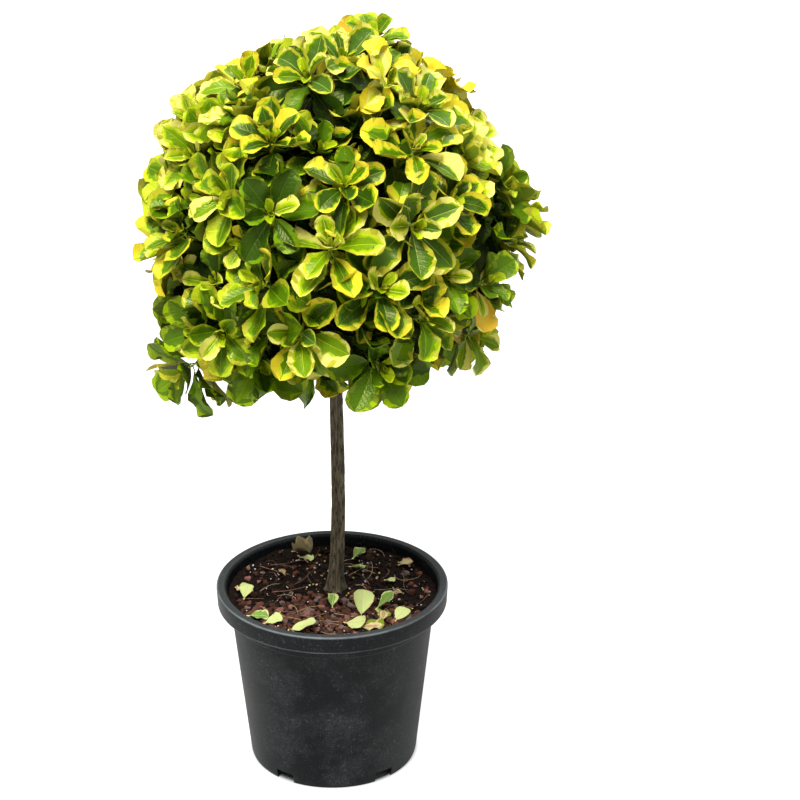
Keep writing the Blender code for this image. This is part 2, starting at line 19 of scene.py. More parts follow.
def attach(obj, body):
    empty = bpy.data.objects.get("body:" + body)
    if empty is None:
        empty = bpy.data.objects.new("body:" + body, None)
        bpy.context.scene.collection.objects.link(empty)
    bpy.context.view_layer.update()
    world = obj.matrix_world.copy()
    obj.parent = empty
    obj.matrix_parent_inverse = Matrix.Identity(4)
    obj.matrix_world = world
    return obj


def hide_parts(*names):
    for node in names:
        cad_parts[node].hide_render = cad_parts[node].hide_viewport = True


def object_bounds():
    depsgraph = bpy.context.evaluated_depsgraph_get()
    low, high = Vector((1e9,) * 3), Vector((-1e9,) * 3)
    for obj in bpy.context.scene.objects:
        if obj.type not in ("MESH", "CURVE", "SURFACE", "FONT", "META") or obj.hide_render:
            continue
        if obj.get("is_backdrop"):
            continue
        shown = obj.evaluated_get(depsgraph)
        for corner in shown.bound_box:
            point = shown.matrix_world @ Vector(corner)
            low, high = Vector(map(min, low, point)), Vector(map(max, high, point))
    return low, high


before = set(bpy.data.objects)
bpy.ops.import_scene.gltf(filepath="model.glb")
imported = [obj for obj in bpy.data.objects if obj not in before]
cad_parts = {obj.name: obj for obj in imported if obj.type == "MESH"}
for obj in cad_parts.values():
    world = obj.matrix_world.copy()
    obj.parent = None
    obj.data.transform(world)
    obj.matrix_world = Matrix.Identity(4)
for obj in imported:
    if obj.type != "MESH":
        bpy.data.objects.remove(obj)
CAD_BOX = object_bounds()

bl_info = {
    "name": "Standard Spindle in a Pot",
    "version": (1, 0, 0),
    "blender": (4, 5, 0),
    "location": "3D Viewport > Sidebar > Spindle",
    "description": "Builds a variegated spindle grown as a standard, with its pot and soil",
    "category": "Add Mesh",
}

# Pot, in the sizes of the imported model.
GAP = 0.0003
POT_RIM_RADIUS = 0.140
POT_BASE_RADIUS = 0.102
POT_HEIGHT = 0.228
POT_WALL = 0.0025
COLLAR_HEIGHT = 0.022
COLLAR_WIDTH = 0.013
COLLAR_DRAFT = 0.0012
LEDGE_WIDTH = 0.0036
LEDGE_HEIGHT = POT_HEIGHT - 0.019
LEDGE_TOP = LEDGE_HEIGHT + POT_WALL * 0.8
RIM_LAND = 0.0095
FOOT_HEIGHT = 0.014
FLOOR_TOP = FOOT_HEIGHT + POT_WALL
FOOT_WALL = 0.0035
FOOT_SLOTS = 5
FOOT_SLOT_WIDTH = 0.024
FOOT_SLOT_DEPTH = 0.012
FOOT_SLOT_ROUNDING = 0.0015
DRAIN_RADIUS = 0.007
DRAIN_SIDES = 32
DRAIN_RING_RADIUS = 0.072
CENTRE_PAD_RADIUS = 0.022
STACKING_STEP_BELOW_COLLAR = 0.016
STACKING_STEP = 0.0006
CORNER_STEPS = 4
POT_SHARP_DEG = 32.0

# Soil.
SOIL_TOP = POT_HEIGHT - 0.012
SOIL_UNEVEN = 0.003
SOIL_CALM_RADIUS = 0.030

# Trunk and boughs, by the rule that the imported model's limbs follow.
TRUNK_FOOT = Vector((0.004, 0.006, SOIL_TOP + GAP))
FORK = Vector((0.011, 0.004, 0.572))
TRUNK_FOOT_RADIUS = 0.0150
TRUNK_RADIUS = 0.0088
TRUNK_FORK_RADIUS = 0.0076
TRUNK_SWAY = 0.0022
ROOT_FLARE_HEIGHT = 0.011
BOUGH_RADIUS = 0.0040
LEADER_RADIUS = 0.0052
BOUGH_END_SHARE = 0.45
BOUGH_OUT = 0.035
BOUGH_UP = 0.045
LEADER_UP = 0.060
BOUGH_POINTS = 33
TRUNK_STEPS = 300
TRUNK_CROWDING = 1.06
BOUGH_SIDES = 16
BOUGH_FISSURE_SHARE = 0.4
BOUGH_FINENESS = 1.8
LIMB_SHARP_DEG = 50.0

# Head: the body that holds the furthest leaf tips, fuller below its middle than above it.
HEAD_CENTRE = Vector((0.0060, 0.0, 0.7150))
HEAD_RADII = Vector((0.2310, 0.2270, 0.2170))
FULLNESS_ABOVE = 1.75
FULLNESS_BELOW = 3.40

# Lobes that swell the head, or hollow it where they are negative: azimuth and elevation in degrees,
# height as a share of the way out, and angular radius.
LOBES = (
    (-73, -47, 0.17, 15),
    (90, -10, 0.07, 17),
    (90, 38, -0.12, 18),
    (-90, 63, -0.05, 16),
    (-96, -22, -0.09, 14),
    (90, 78, 0.04, 14),
    (12, -22, 0.05, 17),
    (150, -34, 0.07, 16),
    (185, 12, 0.06, 18),
    (-140, 30, -0.05, 18),
)

# Masses that share the head: one on top, and two rings round it.
UPPER_MASSES = 5
UPPER_ELEVATION = 30.0
LOWER_MASSES = 6
LOWER_ELEVATION = -24.0
UPPER_LEAVES_AT, UPPER_STEP_DOWN = 0.955, 0.0175
LOWER_LEAVES_AT, LOWER_STEP_DOWN = 0.840, 0.030
SEAT_SHARE = 0.56

# Shoots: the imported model's own, then finer ones between them.
SHOOTS = 88
SHOOT_INSET = 0.036
SHOOT_INSET_LESS = 0.008
SHOOT_INSET_MORE = 0.004
BARE_RADIUS = 0.060
SIDE_SHOOTS = 100
SIDE_INSET = (0.056, 0.088)
SIDE_LEAVES_AT = (0.42, 0.66)
SIDE_START = 0.9
SIDE_SETS_OUT = 0.6
FIRST_SPRAY = 300
FIRST_SIDE_SHOOT = 500

# How a shoot's end turns: to the front where it points sideways by less than a limit, and upwards.
FRONT_TURN = 0.55
FRONT_TURN_WITHIN = 0.6
RISE_KEPT = 0.60
UPWARD_TURN = 0.30

# The fullest sprays, each in its place: azimuth and elevation in degrees from the head's centre,
# the reach of the shoot's tip from there, and the tint. The other shoots fill the room they leave.
SPRAYS = (
    (-38, 18, 0.191, "limy"),
    (-27, 39, 0.183, "bold"),
    (-22, 67, 0.181, "satin"),
    (4, 25, 0.187, "bold"),
    (-1, 6, 0.196, "bright"),
    (26, 10, 0.195, "satin"),
    (35, 34, 0.184, "golden"),
    (51, 48, 0.180, "satin"),
    (-23, -8, 0.200, "limy"),
    (28, -19, 0.214, "limy"),
    (-60, 0, 0.192, "golden"),
    (-80, 12, 0.182, "limy"),
    (58, -17, 0.204, "plain"),
    (83, 7, 0.190, "plain"),
    (-86, 56, 0.169, "golden"),
    (-118, 60, 0.172, "lemony"),
    (43, 61, 0.181, "backlit"),
    (118, 37, 0.180, "backlit"),
    (15, -35, 0.221, "plain"),
    (-68, -44, 0.253, "leafy"),
    (-33, -41, 0.206, "leafy"),
    (-11, -46, 0.198, "leafy"),
    (-11, -22, 0.213, "mild"),
    (-99, 29, 0.183, "lemony"),
    (89, 0, 0.197, "limy"),
    (82, -11, 0.205, "golden"),
    (60, -36, 0.220, "mild"),
    (22, 78, 0.178, "satin"),
    (104, 22, 0.168, "lemony"),
    (-52, -30, 0.215, "plain"),
    (-78, -11, 0.186, "golden"),
    (112, 75, 0.191, "limy"),
    (42, 15, 0.193, "bold"),
    (14, -8, 0.205, "bold"),
    (-39, -26, 0.217, "limy"),
    (-21, 15, 0.192, "dark"),
)
SPRAY_ROOM = math.radians(12.0)
SPRAY_OPENNESS = (0.94, 1.16)

# Places where the other shoots stand back: azimuth and elevation in degrees, and how much deeper.
HOLLOWS = (
    (99, 14, 0.040),
    (112, 30, 0.010),
    (175, 66, 0.010),
    (-98, 13, 0.010),
    (-88, -3, 0.012),
    (-80, -27, 0.050),
    (-42, -58, 0.044),
    (2, -64, 0.016),
    (47, -56, 0.016),
    (73, -32, 0.014),
    (81, -18, 0.010),
)
HOLLOW_SPREAD = math.radians(10.0)
OPENNESS = (0.90, 1.20)
INSET_WHEN_CLOSED = 0.040
INSET_WHEN_LEANING = 0.018
DEEPER = (0.0, 0.0, 0.0, 0.010, 0.020)
TWIG_POINTS = 10
TWIG_SIDES = 6
TWIG_RADIUS = 0.0023
TWIG_TIP_RADIUS = 0.0012
SIDE_TWIG_SHARE = 0.8
TWIG_FINISHES_FROM = (5, 8)
TUBE_POINT = 0.04
GOLDEN_ANGLE = math.radians(137.508)
UP = Vector((0.0, 0.0, 1.0))

# The seed, and what is added to it for each kind of draw.
SEED = 52001
DRAWS = {
    "shoots": 0,
    "granules": 1,
    "specks": 2,
    "straws": 3,
    "fallen_leaves": 4,
    "crumbs": 5,
    "twigs": 2000,
    "leaves": 9000,
    "inner_leaves": 20000,
}


# ------------------------ settings


class PotSettings(bpy.types.PropertyGroup):
    segments: IntProperty(
        name="Segments", description="Faces round the pot", default=160, min=40, max=400
    )
    colour: FloatVectorProperty(
        name="Plastic",
        description="Colour of the clean plastic",
        subtype="COLOR",
        default=(0.0026, 0.0040, 0.0050),
    )
    # Also the colour of the painted sheen and the painted highlights.
    dust_and_shine_colour: FloatVectorProperty(
        name="Dust and shine",
        description="Colour of dust and scratches",
        subtype="COLOR",
        default=(0.38, 0.42, 0.44),
    )
    haze_and_shine: FloatProperty(
        # Also how strongly the painted sheen lightens faces that turn up.
        name="Haze",
        description="How much handling has dulled the wall",
        subtype="FACTOR",
        default=0.056,
        min=0.0,
        max=1.0,
    )
    marks: FloatProperty(
        name="Marks",
        description="Strength of specks and scratches",
        subtype="FACTOR",
        default=0.22,
        min=0.0,
        max=1.0,
    )


class SoilSettings(bpy.types.PropertyGroup):
    rings: IntProperty(
        name="Rings", description="Rings of faces over the soil", default=64, min=16, max=200
    )
    relief: FloatProperty(
        name="Relief",
        description="Height of the soil's crumbs",
        unit="LENGTH",
        default=0.0034,
        min=0.0,
        max=0.005,
    )
    dark: FloatVectorProperty(
        name="Damp peat",
        description="Colour of the hollows",
        subtype="COLOR",
        default=(0.0024, 0.0012, 0.0007),
    )
    light: FloatVectorProperty(
        name="Dry peat",
        description="Colour of the crumbs",
        subtype="COLOR",
        default=(0.023, 0.0098, 0.0050),
    )
    granules: IntProperty(
        name="Granules", description="Number of strewn clay granules", default=150, min=0
    )
    crumbs: IntProperty(
        name="Crumbs", description="Number of small dark crumbs", default=2200, min=0
    )
    specks: IntProperty(
        name="Specks", description="Number of pale perlite specks", default=230, min=0
    )
    straws: IntProperty(
        name="Straws", description="Number of dry rootlets and straws", default=60, min=0
    )


class LimbSettings(bpy.types.PropertyGroup):
    sides: IntProperty(
        name="Sides", description="Faces round the trunk", default=44, min=12, max=96
    )
    fissure: FloatProperty(
        name="Fissures",
        description="Depth of the cracks in the bark",
        unit="LENGTH",
        default=0.0009,
        min=0.0,
        max=0.003,
    )
    bark: FloatVectorProperty(
        name="Bark",
        description="Colour of the bark's plates",
        subtype="COLOR",
        default=(0.185, 0.145, 0.082),
    )
    crack: FloatVectorProperty(
        name="Cracks",
        description="Colour down in the bark's cracks",
        subtype="COLOR",
        default=(0.020, 0.013, 0.009),
    )
    algae: FloatVectorProperty(
        name="Algae",
        description="Colour of the film near the foot",
        subtype="COLOR",
        default=(0.105, 0.112, 0.042),
    )


class LeafSettings(bpy.types.PropertyGroup):
    size: FloatProperty(
        name="Leaf size",
        description="Scale of every leaf",
        subtype="FACTOR",
        default=1.0,
        min=0.5,
        max=1.5,
    )
    vein_depth: FloatProperty(
        name="Vein depth",
        description="Height of the veins' relief",
        unit="LENGTH",
        default=0.00035,
        min=0.0,
        max=0.002,
    )
    gloss: FloatProperty(
        name="Roughness",
        description="Roughness of the upper side",
        subtype="FACTOR",
        default=0.32,
        min=0.0,
        max=1.0,
    )


class StageSettings(bpy.types.PropertyGroup):
    floor: FloatVectorProperty(
        name="Floor", description="Colour of the floor", subtype="COLOR", default=(0.30, 0.30, 0.30)
    )
    glow: FloatProperty(
        name="Glow", description="How much light the floor gives off", default=0.86, min=0.0
    )
    sky: FloatProperty(
        name="Surround", description="Strength of the even light all round", default=0.30, min=0.0
    )
    key: FloatProperty(
        name="Key light", description="Strength of the main soft light", default=5.35, min=0.0
    )
    fill: FloatProperty(
        name="Fill light", description="Strength of the light opposite it", default=0.22, min=0.0
    )
    back: FloatProperty(
        name="Back light", description="Strength of the light behind", default=1.6, min=0.0
    )


def settings(name):
    return getattr(bpy.context.scene, f"spindle_{name}")


def draws(kind, number=0):
    """The random draws of one kind, and of one shoot or twig where it has a number."""
    return random.Random(SEED + DRAWS[kind] + number)


# ------------------------ meshes


def direction(azimuth_deg, elevation_deg=0.0):
    """A unit vector: azimuth 0 points to the front, -Y, and 90 to the right, +X."""
    azimuth, elevation = math.radians(azimuth_deg), math.radians(elevation_deg)
    level = math.cos(elevation)
    return Vector((math.sin(azimuth) * level, -math.cos(azimuth) * level, math.sin(elevation)))


def add_object(name, mesh):
    obj = bpy.data.objects.new(name, mesh)
    bpy.context.scene.collection.objects.link(obj)
    return obj


def settle(obj, replaced):
    """Says what a finished piece rides on and stands for."""
    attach(obj, "root")
    if replaced:
        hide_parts(*replaced)


class Gathered:
    """Points, triangles and material numbers of many small shapes that become one mesh."""

    def __init__(self):
        self.points, self.triangles, self.finishes, self.places = [], [], [], []
        self.count = 0

    def add(self, points, triangles, finish, places=None):
        """places are the points' own coordinates on a leaf, from (0, 0) to (1, 1)."""
        points = np.asarray(points, np.float64).reshape(-1, 3)
        triangles = np.asarray(triangles, np.int64).reshape(-1, 3)
        self.points.append(points)
        self.triangles.append(triangles + self.count)
        self.finishes.append(np.broadcast_to(finish, len(triangles)))
        self.places.append(np.full((len(points), 2), 0.5) if places is None else places)
        self.count += len(points)

    def to_object(self, name, materials, sharp_deg=60.0):
        points = np.concatenate(self.points)
        triangles = np.concatenate(self.triangles).astype(np.int32)
        mesh = bpy.data.meshes.new(name)
        mesh.vertices.add(len(points))
        mesh.vertices.foreach_set("co", points.astype(np.float32).ravel())
        mesh.loops.add(triangles.size)
        mesh.loops.foreach_set("vertex_index", triangles.ravel())
        mesh.polygons.add(len(triangles))
        mesh.polygons.foreach_set("loop_start", np.arange(0, triangles.size, 3, dtype=np.int32))
        mesh.polygons.foreach_set("material_index", np.concatenate(self.finishes).astype(np.int32))
        mesh.update(calc_edges=True)
        layer = mesh.uv_layers.new(name="leaf")
        layer.data.foreach_set(
            "uv", np.concatenate(self.places)[triangles.ravel()].astype(np.float32).ravel()
        )
        mesh.shade_smooth()
        mesh.set_sharp_from_angle(angle=math.radians(sharp_deg))
        for material in materials:
            mesh.materials.append(material)
        return add_object(name, mesh)


def tube(path, radii, sides):
    """Points and triangles of a round tube along a path, closed at its start and pointed."""
    path = [Vector(point) for point in path]
    side = (path[1] - path[0]).orthogonal().normalized()
    turns = np.arange(sides) * (math.tau / sides)
    rows = []
    for index, (point, radius) in enumerate(zip(path, radii)):
        ahead = path[min(index + 1, len(path) - 1)]
        behind = path[max(index - 1, 0)]
        along = (ahead - behind).normalized()
        side = (side - along * side.dot(along)).normalized()
        other = along.cross(side)
        ring = np.outer(np.cos(turns), side) + np.outer(np.sin(turns), other)
        rows.append(np.array(point) + ring * radius)
    points = np.concatenate(rows)
    triangles = grid_triangles(len(path), sides)
    ends = [np.array(path[-1]) + np.array(path[-1] - path[-2]) * TUBE_POINT, np.array(path[0])]
    last, tip = (len(path) - 1) * sides, len(points)
    triangles += [(last + k, last + (k + 1) % sides, tip) for k in range(sides)]
    triangles += [((k + 1) % sides, k, tip + 1) for k in range(sides)]
    return np.concatenate([points, np.array(ends)]), triangles


def grid_triangles(rows, columns):
    """Two triangles for each cell between closed rings that turn anticlockwise."""
    triangles = []
    for row in range(rows - 1):
        for column in range(columns):
            following = (column + 1) % columns
            low, low_next = row * columns + column, row * columns + following
            triangles.append((low, low_next, low_next + columns))
            triangles.append((low, low_next + columns, low + columns))
    return triangles


def bezier(start, first_handle, second_handle, end, share):
    rest = 1.0 - share
    return (
        start * rest**3
        + first_handle * (3 * rest**2 * share)
        + second_handle * (3 * rest * share**2)
        + end * share**3
    )


# ------------------------ materials

LEAF_SPECULAR = 0.36
PLASTIC_SPECULAR = 0.20
PEAT_SPECULAR = 0.12
SIDE_VEINS = 9.0
BARK_GRAIN, PEAT_GRAIN = 700.0, 520.0
BARK_RELIEF, PEAT_RELIEF, PLASTIC_RELIEF = 0.0006, 0.0016, 0.00018
POT_MEAN_RADIUS = 0.115
POT_SKIRT = POT_HEIGHT - COLLAR_HEIGHT

# Painted highlights along the pot's edges: the edge's radius and height, and the strength of the
# highlight.
EDGE_HIGHLIGHTS = (
    (POT_RIM_RADIUS - 0.0008, POT_HEIGHT - 0.0006, 0.42),
    (POT_RIM_RADIUS - COLLAR_DRAFT, POT_SKIRT, 0.28),
)
# Specks of dust: cells in a metre, a speck's reach in its cell, and the draw above which one shows.
DUST_SPECKS = ((430.0, 0.26, 0.78), (240.0, 0.18, 0.86), (110.0, 0.10, 0.86))
# Scratches: the turn of each set in radians, and the length and width of the cells that hold them.
SCRATCHES = ((0.3, 0.022, 0.0046), (1.2, 0.016, 0.0040), (2.0, 0.030, 0.0052), (2.7, 0.012, 0.0038))
SCRATCHED_ABOVE = 0.72

# Crumbly finishes: colour, roughness, crumbs in a metre, and the height of their relief.
CRUMB_FINISHES = {
    "red_clay": ((0.112, 0.043, 0.027), 0.80, 1100.0, 0.0004),
    "brown_clay": ((0.062, 0.026, 0.016), 0.80, 1100.0, 0.0004),
    "grey_clay": ((0.150, 0.102, 0.088), 0.80, 1100.0, 0.0004),
    "dark_bark": ((0.016, 0.008, 0.006), 0.80, 1100.0, 0.0004),
    "pink_clay": ((0.230, 0.105, 0.078), 0.80, 1100.0, 0.0004),
    "dark_crumb": ((0.0042, 0.0020, 0.0013), 0.90, 1400.0, 0.0004),
    "brown_crumb": ((0.021, 0.0092, 0.0050), 0.90, 1400.0, 0.0004),
    "reddish_crumb": ((0.054, 0.020, 0.012), 0.90, 1400.0, 0.0004),
    "white_perlite": ((0.70, 0.67, 0.61), 0.80, 1500.0, 0.0004),
    "cream_perlite": ((0.52, 0.42, 0.26), 0.80, 1500.0, 0.0004),
    "yellow_feed": ((0.55, 0.45, 0.08), 0.60, 1500.0, 0.0004),
    "pale_straw": ((0.50, 0.36, 0.22), 0.80, 1600.0, 0.0001),
    "tan_rootlet": ((0.33, 0.19, 0.12), 0.80, 1600.0, 0.0001),
    "grey_rootlet": ((0.17, 0.12, 0.10), 0.80, 1600.0, 0.0001),
    "brown_twig": ((0.085, 0.062, 0.030), 0.75, 900.0, 0.0002),
    "green_twig": ((0.170, 0.235, 0.045), 0.55, 900.0, 0.0001),
    "young_twig": ((0.360, 0.440, 0.090), 0.45, 900.0, 0.0001),
}


def node(tree, kind, inputs=(), **options):
    """Adds a shader node. An input is a value or a socket that it is linked to."""
    made = tree.nodes.new(kind)
    for name, value in options.items():
        setattr(made, name, value)
    for name, value in dict(inputs).items():
        if isinstance(value, bpy.types.NodeSocket):
            tree.links.new(value, made.inputs[name])
        else:
            made.inputs[name].default_value = value
    return made


def maths(tree, operation, first, second=0.5, clamp=False):
    inputs = {0: first, 1: second}
    return node(tree, "ShaderNodeMath", inputs, operation=operation, use_clamp=clamp).outputs[0]


def times(tree, first, second, clamp=False):
    return maths(tree, "MULTIPLY", first, second, clamp)


def plus(tree, first, second, clamp=False):
    return maths(tree, "ADD", first, second, clamp)


def minus(tree, first, second):
    return maths(tree, "SUBTRACT", first, second)


def apart(tree, first, second):
    return maths(tree, "ABSOLUTE", minus(tree, first, second))


def strongest(tree, first, second):
    return second if first is None else maths(tree, "MAXIMUM", first, second)


def from_axis(tree, x, y):
    """How far a place is from the upright axis."""
    return maths(tree, "SQRT", plus(tree, times(tree, x, x), times(tree, y, y)))


def blended(tree, share, first, second):
    inputs = {0: share, 6: first, 7: second}
    return node(tree, "ShaderNodeMix", inputs, data_type="RGBA").outputs[2]


def between(tree, value, low, high, to_low=0.0, to_high=1.0):
    """The value stretched from low..high to to_low..to_high, and held there."""
    inputs = {0: value, 1: low, 2: high, 3: to_low, 4: to_high}
    return node(tree, "ShaderNodeMapRange", inputs).outputs[0]


def spot_on_object(tree):
    return node(tree, "ShaderNodeTexCoord").outputs["Object"]


def axes(tree, vector):
    return node(tree, "ShaderNodeSeparateXYZ", {0: vector}).outputs


def cloudy(tree, place, scale, detail=2.0, roughness=0.5):
    """Clouds from 0 to 1, smaller with a higher scale and finer with more detail."""
    inputs = {"Vector": place, "Scale": scale, "Detail": detail, "Roughness": roughness}
    return node(tree, "ShaderNodeTexNoise", inputs).outputs[0]


def opaque(colour):
    return (*colour, 1.0)


def new_group(name, inputs, outputs):
    """A shader node group of plain numbers, from its inputs' defaults and its outputs' names."""
    tree = bpy.data.node_groups.new(name, "ShaderNodeTree")
    for title, default in inputs.items():
        socket = tree.interface.new_socket(title, in_out="INPUT", socket_type="NodeSocketFloat")
        socket.default_value = default
    for title in outputs:
        tree.interface.new_socket(title, in_out="OUTPUT", socket_type="NodeSocketFloat")
    return tree, node(tree, "NodeGroupInput").outputs


def finish_group(tree, results):
    node(tree, "NodeGroupOutput", results)
    lay_out(tree)
    return tree


def lay_out(tree):
    """Places the nodes in columns, in the order in which they were made."""
    for index, made in enumerate(tree.nodes):
        made.location = (240.0 * (index // 4), -260.0 * (index % 4))


def place_group(tree, name, build, **inputs):
    """Places a node group, which is built once, in a material with its own values."""
    made = tree.nodes.new("ShaderNodeGroup")
    made.node_tree = bpy.data.node_groups.get(name) or build(name)
    for title, value in inputs.items():
        made.inputs[title].default_value = value
    return made.outputs


def leaf_skin(name):
    """Side veins that run forward from the midrib, and the leathery swelling between them."""
    tree, given = new_group(name, {"Roughness": 0.4, "Veins": SIDE_VEINS}, ("Height", "Roughness"))
    lengthwise, sideways, _ = axes(tree, node(tree, "ShaderNodeUVMap", uv_map="leaf").outputs[0])
    aside = apart(tree, sideways, 0.5)
    along = minus(tree, lengthwise, times(tree, aside, 0.55))
    wave = maths(tree, "PINGPONG", times(tree, along, given["Veins"]), 0.5)
    vein = between(tree, wave, 0.0, 0.16, 1.0, 0.0)
    midrib = between(tree, aside, 0.0, 0.05, 1.0, 0.0)
    spot = spot_on_object(tree)
    sunk = plus(tree, times(tree, vein, -0.45), times(tree, midrib, -0.8))
    height = plus(tree, sunk, times(tree, cloudy(tree, spot, 420.0), 0.9))
    wax = between(tree, cloudy(tree, spot, 90.0, 3.0), 0.3, 0.7, -0.09, 0.12)
    rough = plus(tree, given["Roughness"], wax, clamp=True)
    return finish_group(tree, {"Height": height, "Roughness": rough})


def crumb_grain(name):
    """Fine crumbs for soil, bark and litter: a height, and a mask of the parts that stand proud."""
    tree, given = new_group(name, {"Scale": 900.0}, ("Height", "Proud"))
    spot = spot_on_object(tree)
    coarse = cloudy(tree, spot, given["Scale"], 6.0, 0.65)
    inputs = {"Vector": spot, "Scale": given["Scale"]}
    cells = node(tree, "ShaderNodeTexVoronoi", inputs).outputs["Distance"]
    height = minus(tree, coarse, times(tree, cells, 0.35))
    return finish_group(tree, {"Height": height, "Proud": between(tree, height, 0.15, 0.55)})


def handling_marks(name):
    """Haze, dust specks and short scratches on a turned surface, laid out round it and down it,
    with painted sheen on faces that turn up and painted highlights along the edges.
    """
    tree, given = new_group(name, {"Haze": 0.1, "Marks": 1.0}, ("Haze", "Marks", "Height"))
    places = node(tree, "ShaderNodeTexCoord").outputs
    spot = places["Object"]
    x, y, z = axes(tree, spot)
    radius = from_axis(tree, x, y)
    around = times(tree, maths(tree, "ARCTAN2", x, times(tree, y, -1.0)), POT_MEAN_RADIUS)
    strayed = times(tree, cloudy(tree, spot, 55.0), 0.016)
    flat = {0: plus(tree, around, strayed), 1: minus(tree, radius, z)}
    flat = node(tree, "ShaderNodeCombineXYZ", flat).outputs[0]

    clouds = cloudy(tree, spot, 17.0, 8.0, 0.66)
    fine = between(tree, cloudy(tree, spot, 300.0, 4.0), 0.32, 0.68, 0.35, 1.5)
    patchy = times(tree, between(tree, clouds, 0.42, 0.66), fine)
    patchy = times(tree, patchy, between(tree, z, POT_SKIRT - 0.012, POT_SKIRT, 1.0, 0.30))
    # Faces that turn up gather dust, and are lighter as painted sheen.
    upward = axes(tree, places["Normal"])[2]
    dust_and_sheen = plus(tree, patchy, between(tree, upward, 0.5, 1.0, 0.0, 1.2))
    # Painted highlights: pale lines along the rim's outer edge and the collar's lower edge.
    lightened = painted_edge_highlights(tree, radius, z)
    lightened = times(tree, lightened, between(tree, clouds, 0.36, 0.62, 0.35, 1.0))
    haze_and_shine = strongest(tree, times(tree, dust_and_sheen, given["Haze"]), lightened)

    specks = None
    for scale, reach, above in DUST_SPECKS:
        cells = flat_cells(tree, flat, scale)
        dot = between(tree, cells["Distance"], reach * 0.3, reach, 1.0, 0.0)
        specks = strongest(tree, specks, times(tree, dot, chosen_cells(tree, cells, above)))
    scratches = None
    for turn, length, width in SCRATCHES:
        turned = {"Vector": flat, "Rotation": (0.0, 0.0, turn)}
        squeezed = {
            "Vector": node(tree, "ShaderNodeMapping", turned).outputs[0],
            "Scale": (1.0 / length, 1.0 / width, 1.0),
        }
        cells = flat_cells(tree, node(tree, "ShaderNodeMapping", squeezed).outputs[0], 1.0)
        line = between(tree, cells["Distance"], 0.03, 0.13, 1.0, 0.0)
        line = times(tree, line, chosen_cells(tree, cells, SCRATCHED_ABOVE))
        scratches = strongest(tree, scratches, line)
    patches = between(tree, clouds, 0.36, 0.64, 0.25, 1.0)
    uneven = times(tree, strongest(tree, specks, scratches), patches)
    marks = times(tree, uneven, given["Marks"], clamp=True)
    grain = times(tree, cloudy(tree, spot, 1400.0), 0.6)
    height = minus(tree, grain, times(tree, scratches, 0.5))
    return finish_group(tree, {"Haze": haze_and_shine, "Marks": marks, "Height": height})


def painted_edge_highlights(tree, radius, height):
    """Painted highlights, strongest along the rim's outer edge and the collar's lower edge."""
    edges = None
    for edge_radius, edge_height, strength in EDGE_HIGHLIGHTS:
        off = plus(tree, apart(tree, radius, edge_radius), apart(tree, height, edge_height))
        edges = strongest(tree, edges, between(tree, off, 0.0008, 0.0026, strength, 0.0))
    return edges


def flat_cells(tree, place, scale):
    inputs = {"Vector": place, "Scale": scale}
    return node(tree, "ShaderNodeTexVoronoi", inputs, voronoi_dimensions="2D").outputs


def chosen_cells(tree, cells, above):
    """How strong a cell's mark is: none for most, and up to full for those drawn above a share."""
    draw = node(tree, "ShaderNodeSeparateColor", {0: cells["Color"]}).outputs[0]
    return between(tree, draw, above, 1.0)


def new_material(name):
    """A material with its Principled shader, and its node tree."""
    made = bpy.data.materials.new(name)
    made.use_nodes = True
    return made, made.node_tree, made.node_tree.nodes["Principled BSDF"]


def finish_material(made, shader, roughness, height, relief, specular=None):
    """Links a material's roughness and its relief, and lays out its nodes."""
    tree = made.node_tree
    tree.links.new(roughness, shader.inputs["Roughness"])
    if specular is not None:
        shader.inputs["Specular IOR Level"].default_value = specular
    bump = node(tree, "ShaderNodeBump", {"Height": height, "Distance": relief})
    tree.links.new(bump.outputs[0], shader.inputs["Normal"])
    lay_out(tree)
    return made


def leaf_material(name, colour, roughness):
    """One colour of the leaf, with veins in relief."""
    made, tree, shader = new_material(name)
    skin = place_group(tree, "leaf skin", leaf_skin, Roughness=roughness, Veins=SIDE_VEINS)
    shader.inputs["Base Color"].default_value = opaque(colour)
    shader.inputs["Specular Tint"].default_value = opaque(GLOSS_TINT)
    relief = settings("leaf").vein_depth
    return finish_material(made, shader, skin["Roughness"], skin["Height"], relief, LEAF_SPECULAR)


def crumb_material(name):
    """One colour of soil litter or young bark, with a crumbly relief."""
    colour, roughness, scale, relief = CRUMB_FINISHES[name]
    made, tree, shader = new_material(name)
    grain = place_group(tree, "crumb grain", crumb_grain, Scale=scale)
    shader.inputs["Base Color"].default_value = opaque(colour)
    rough = between(tree, grain["Proud"], 0.0, 1.0, min(1.0, roughness + 0.1), roughness - 0.12)
    return finish_material(made, shader, rough, grain["Height"], relief, PEAT_SPECULAR)


def soil_material():
    soil = settings("soil")
    made, tree, shader = new_material("damp_peat")
    grain = place_group(tree, "crumb grain", crumb_grain, Scale=PEAT_GRAIN)
    patches = cloudy(tree, spot_on_object(tree), 60.0, 5.0)
    share = times(tree, grain["Proud"], between(tree, patches, 0.35, 0.68, 0.15, 1.0))
    colour = blended(tree, share, opaque(soil.dark), opaque(soil.light))
    tree.links.new(colour, shader.inputs["Base Color"])
    rough = between(tree, patches, 0.3, 0.7, 0.78, 0.98)
    return finish_material(made, shader, rough, grain["Height"], PEAT_RELIEF, PEAT_SPECULAR)


def plastic_material():
    pot = settings("pot")
    made, tree, shader = new_material("scuffed_black_plastic")
    given = {"Haze": pot.haze_and_shine, "Marks": pot.marks}
    marks = place_group(tree, "handling marks", handling_marks, **given)
    # The plastic lightened by dust, painted sheen and painted highlights.
    lightened = blended(tree, marks["Haze"], opaque(pot.colour), opaque(pot.dust_and_shine_colour))
    colour = blended(tree, marks["Marks"], lightened, opaque(pot.dust_and_shine_colour))
    tree.links.new(colour, shader.inputs["Base Color"])
    dulled = between(tree, marks["Haze"], 0.0, pot.haze_and_shine * 1.5, 0.36, 0.58)
    rough = plus(tree, dulled, times(tree, marks["Marks"], 0.3), clamp=True)
    height = marks["Height"]
    return finish_material(made, shader, rough, height, PLASTIC_RELIEF, PLASTIC_SPECULAR)


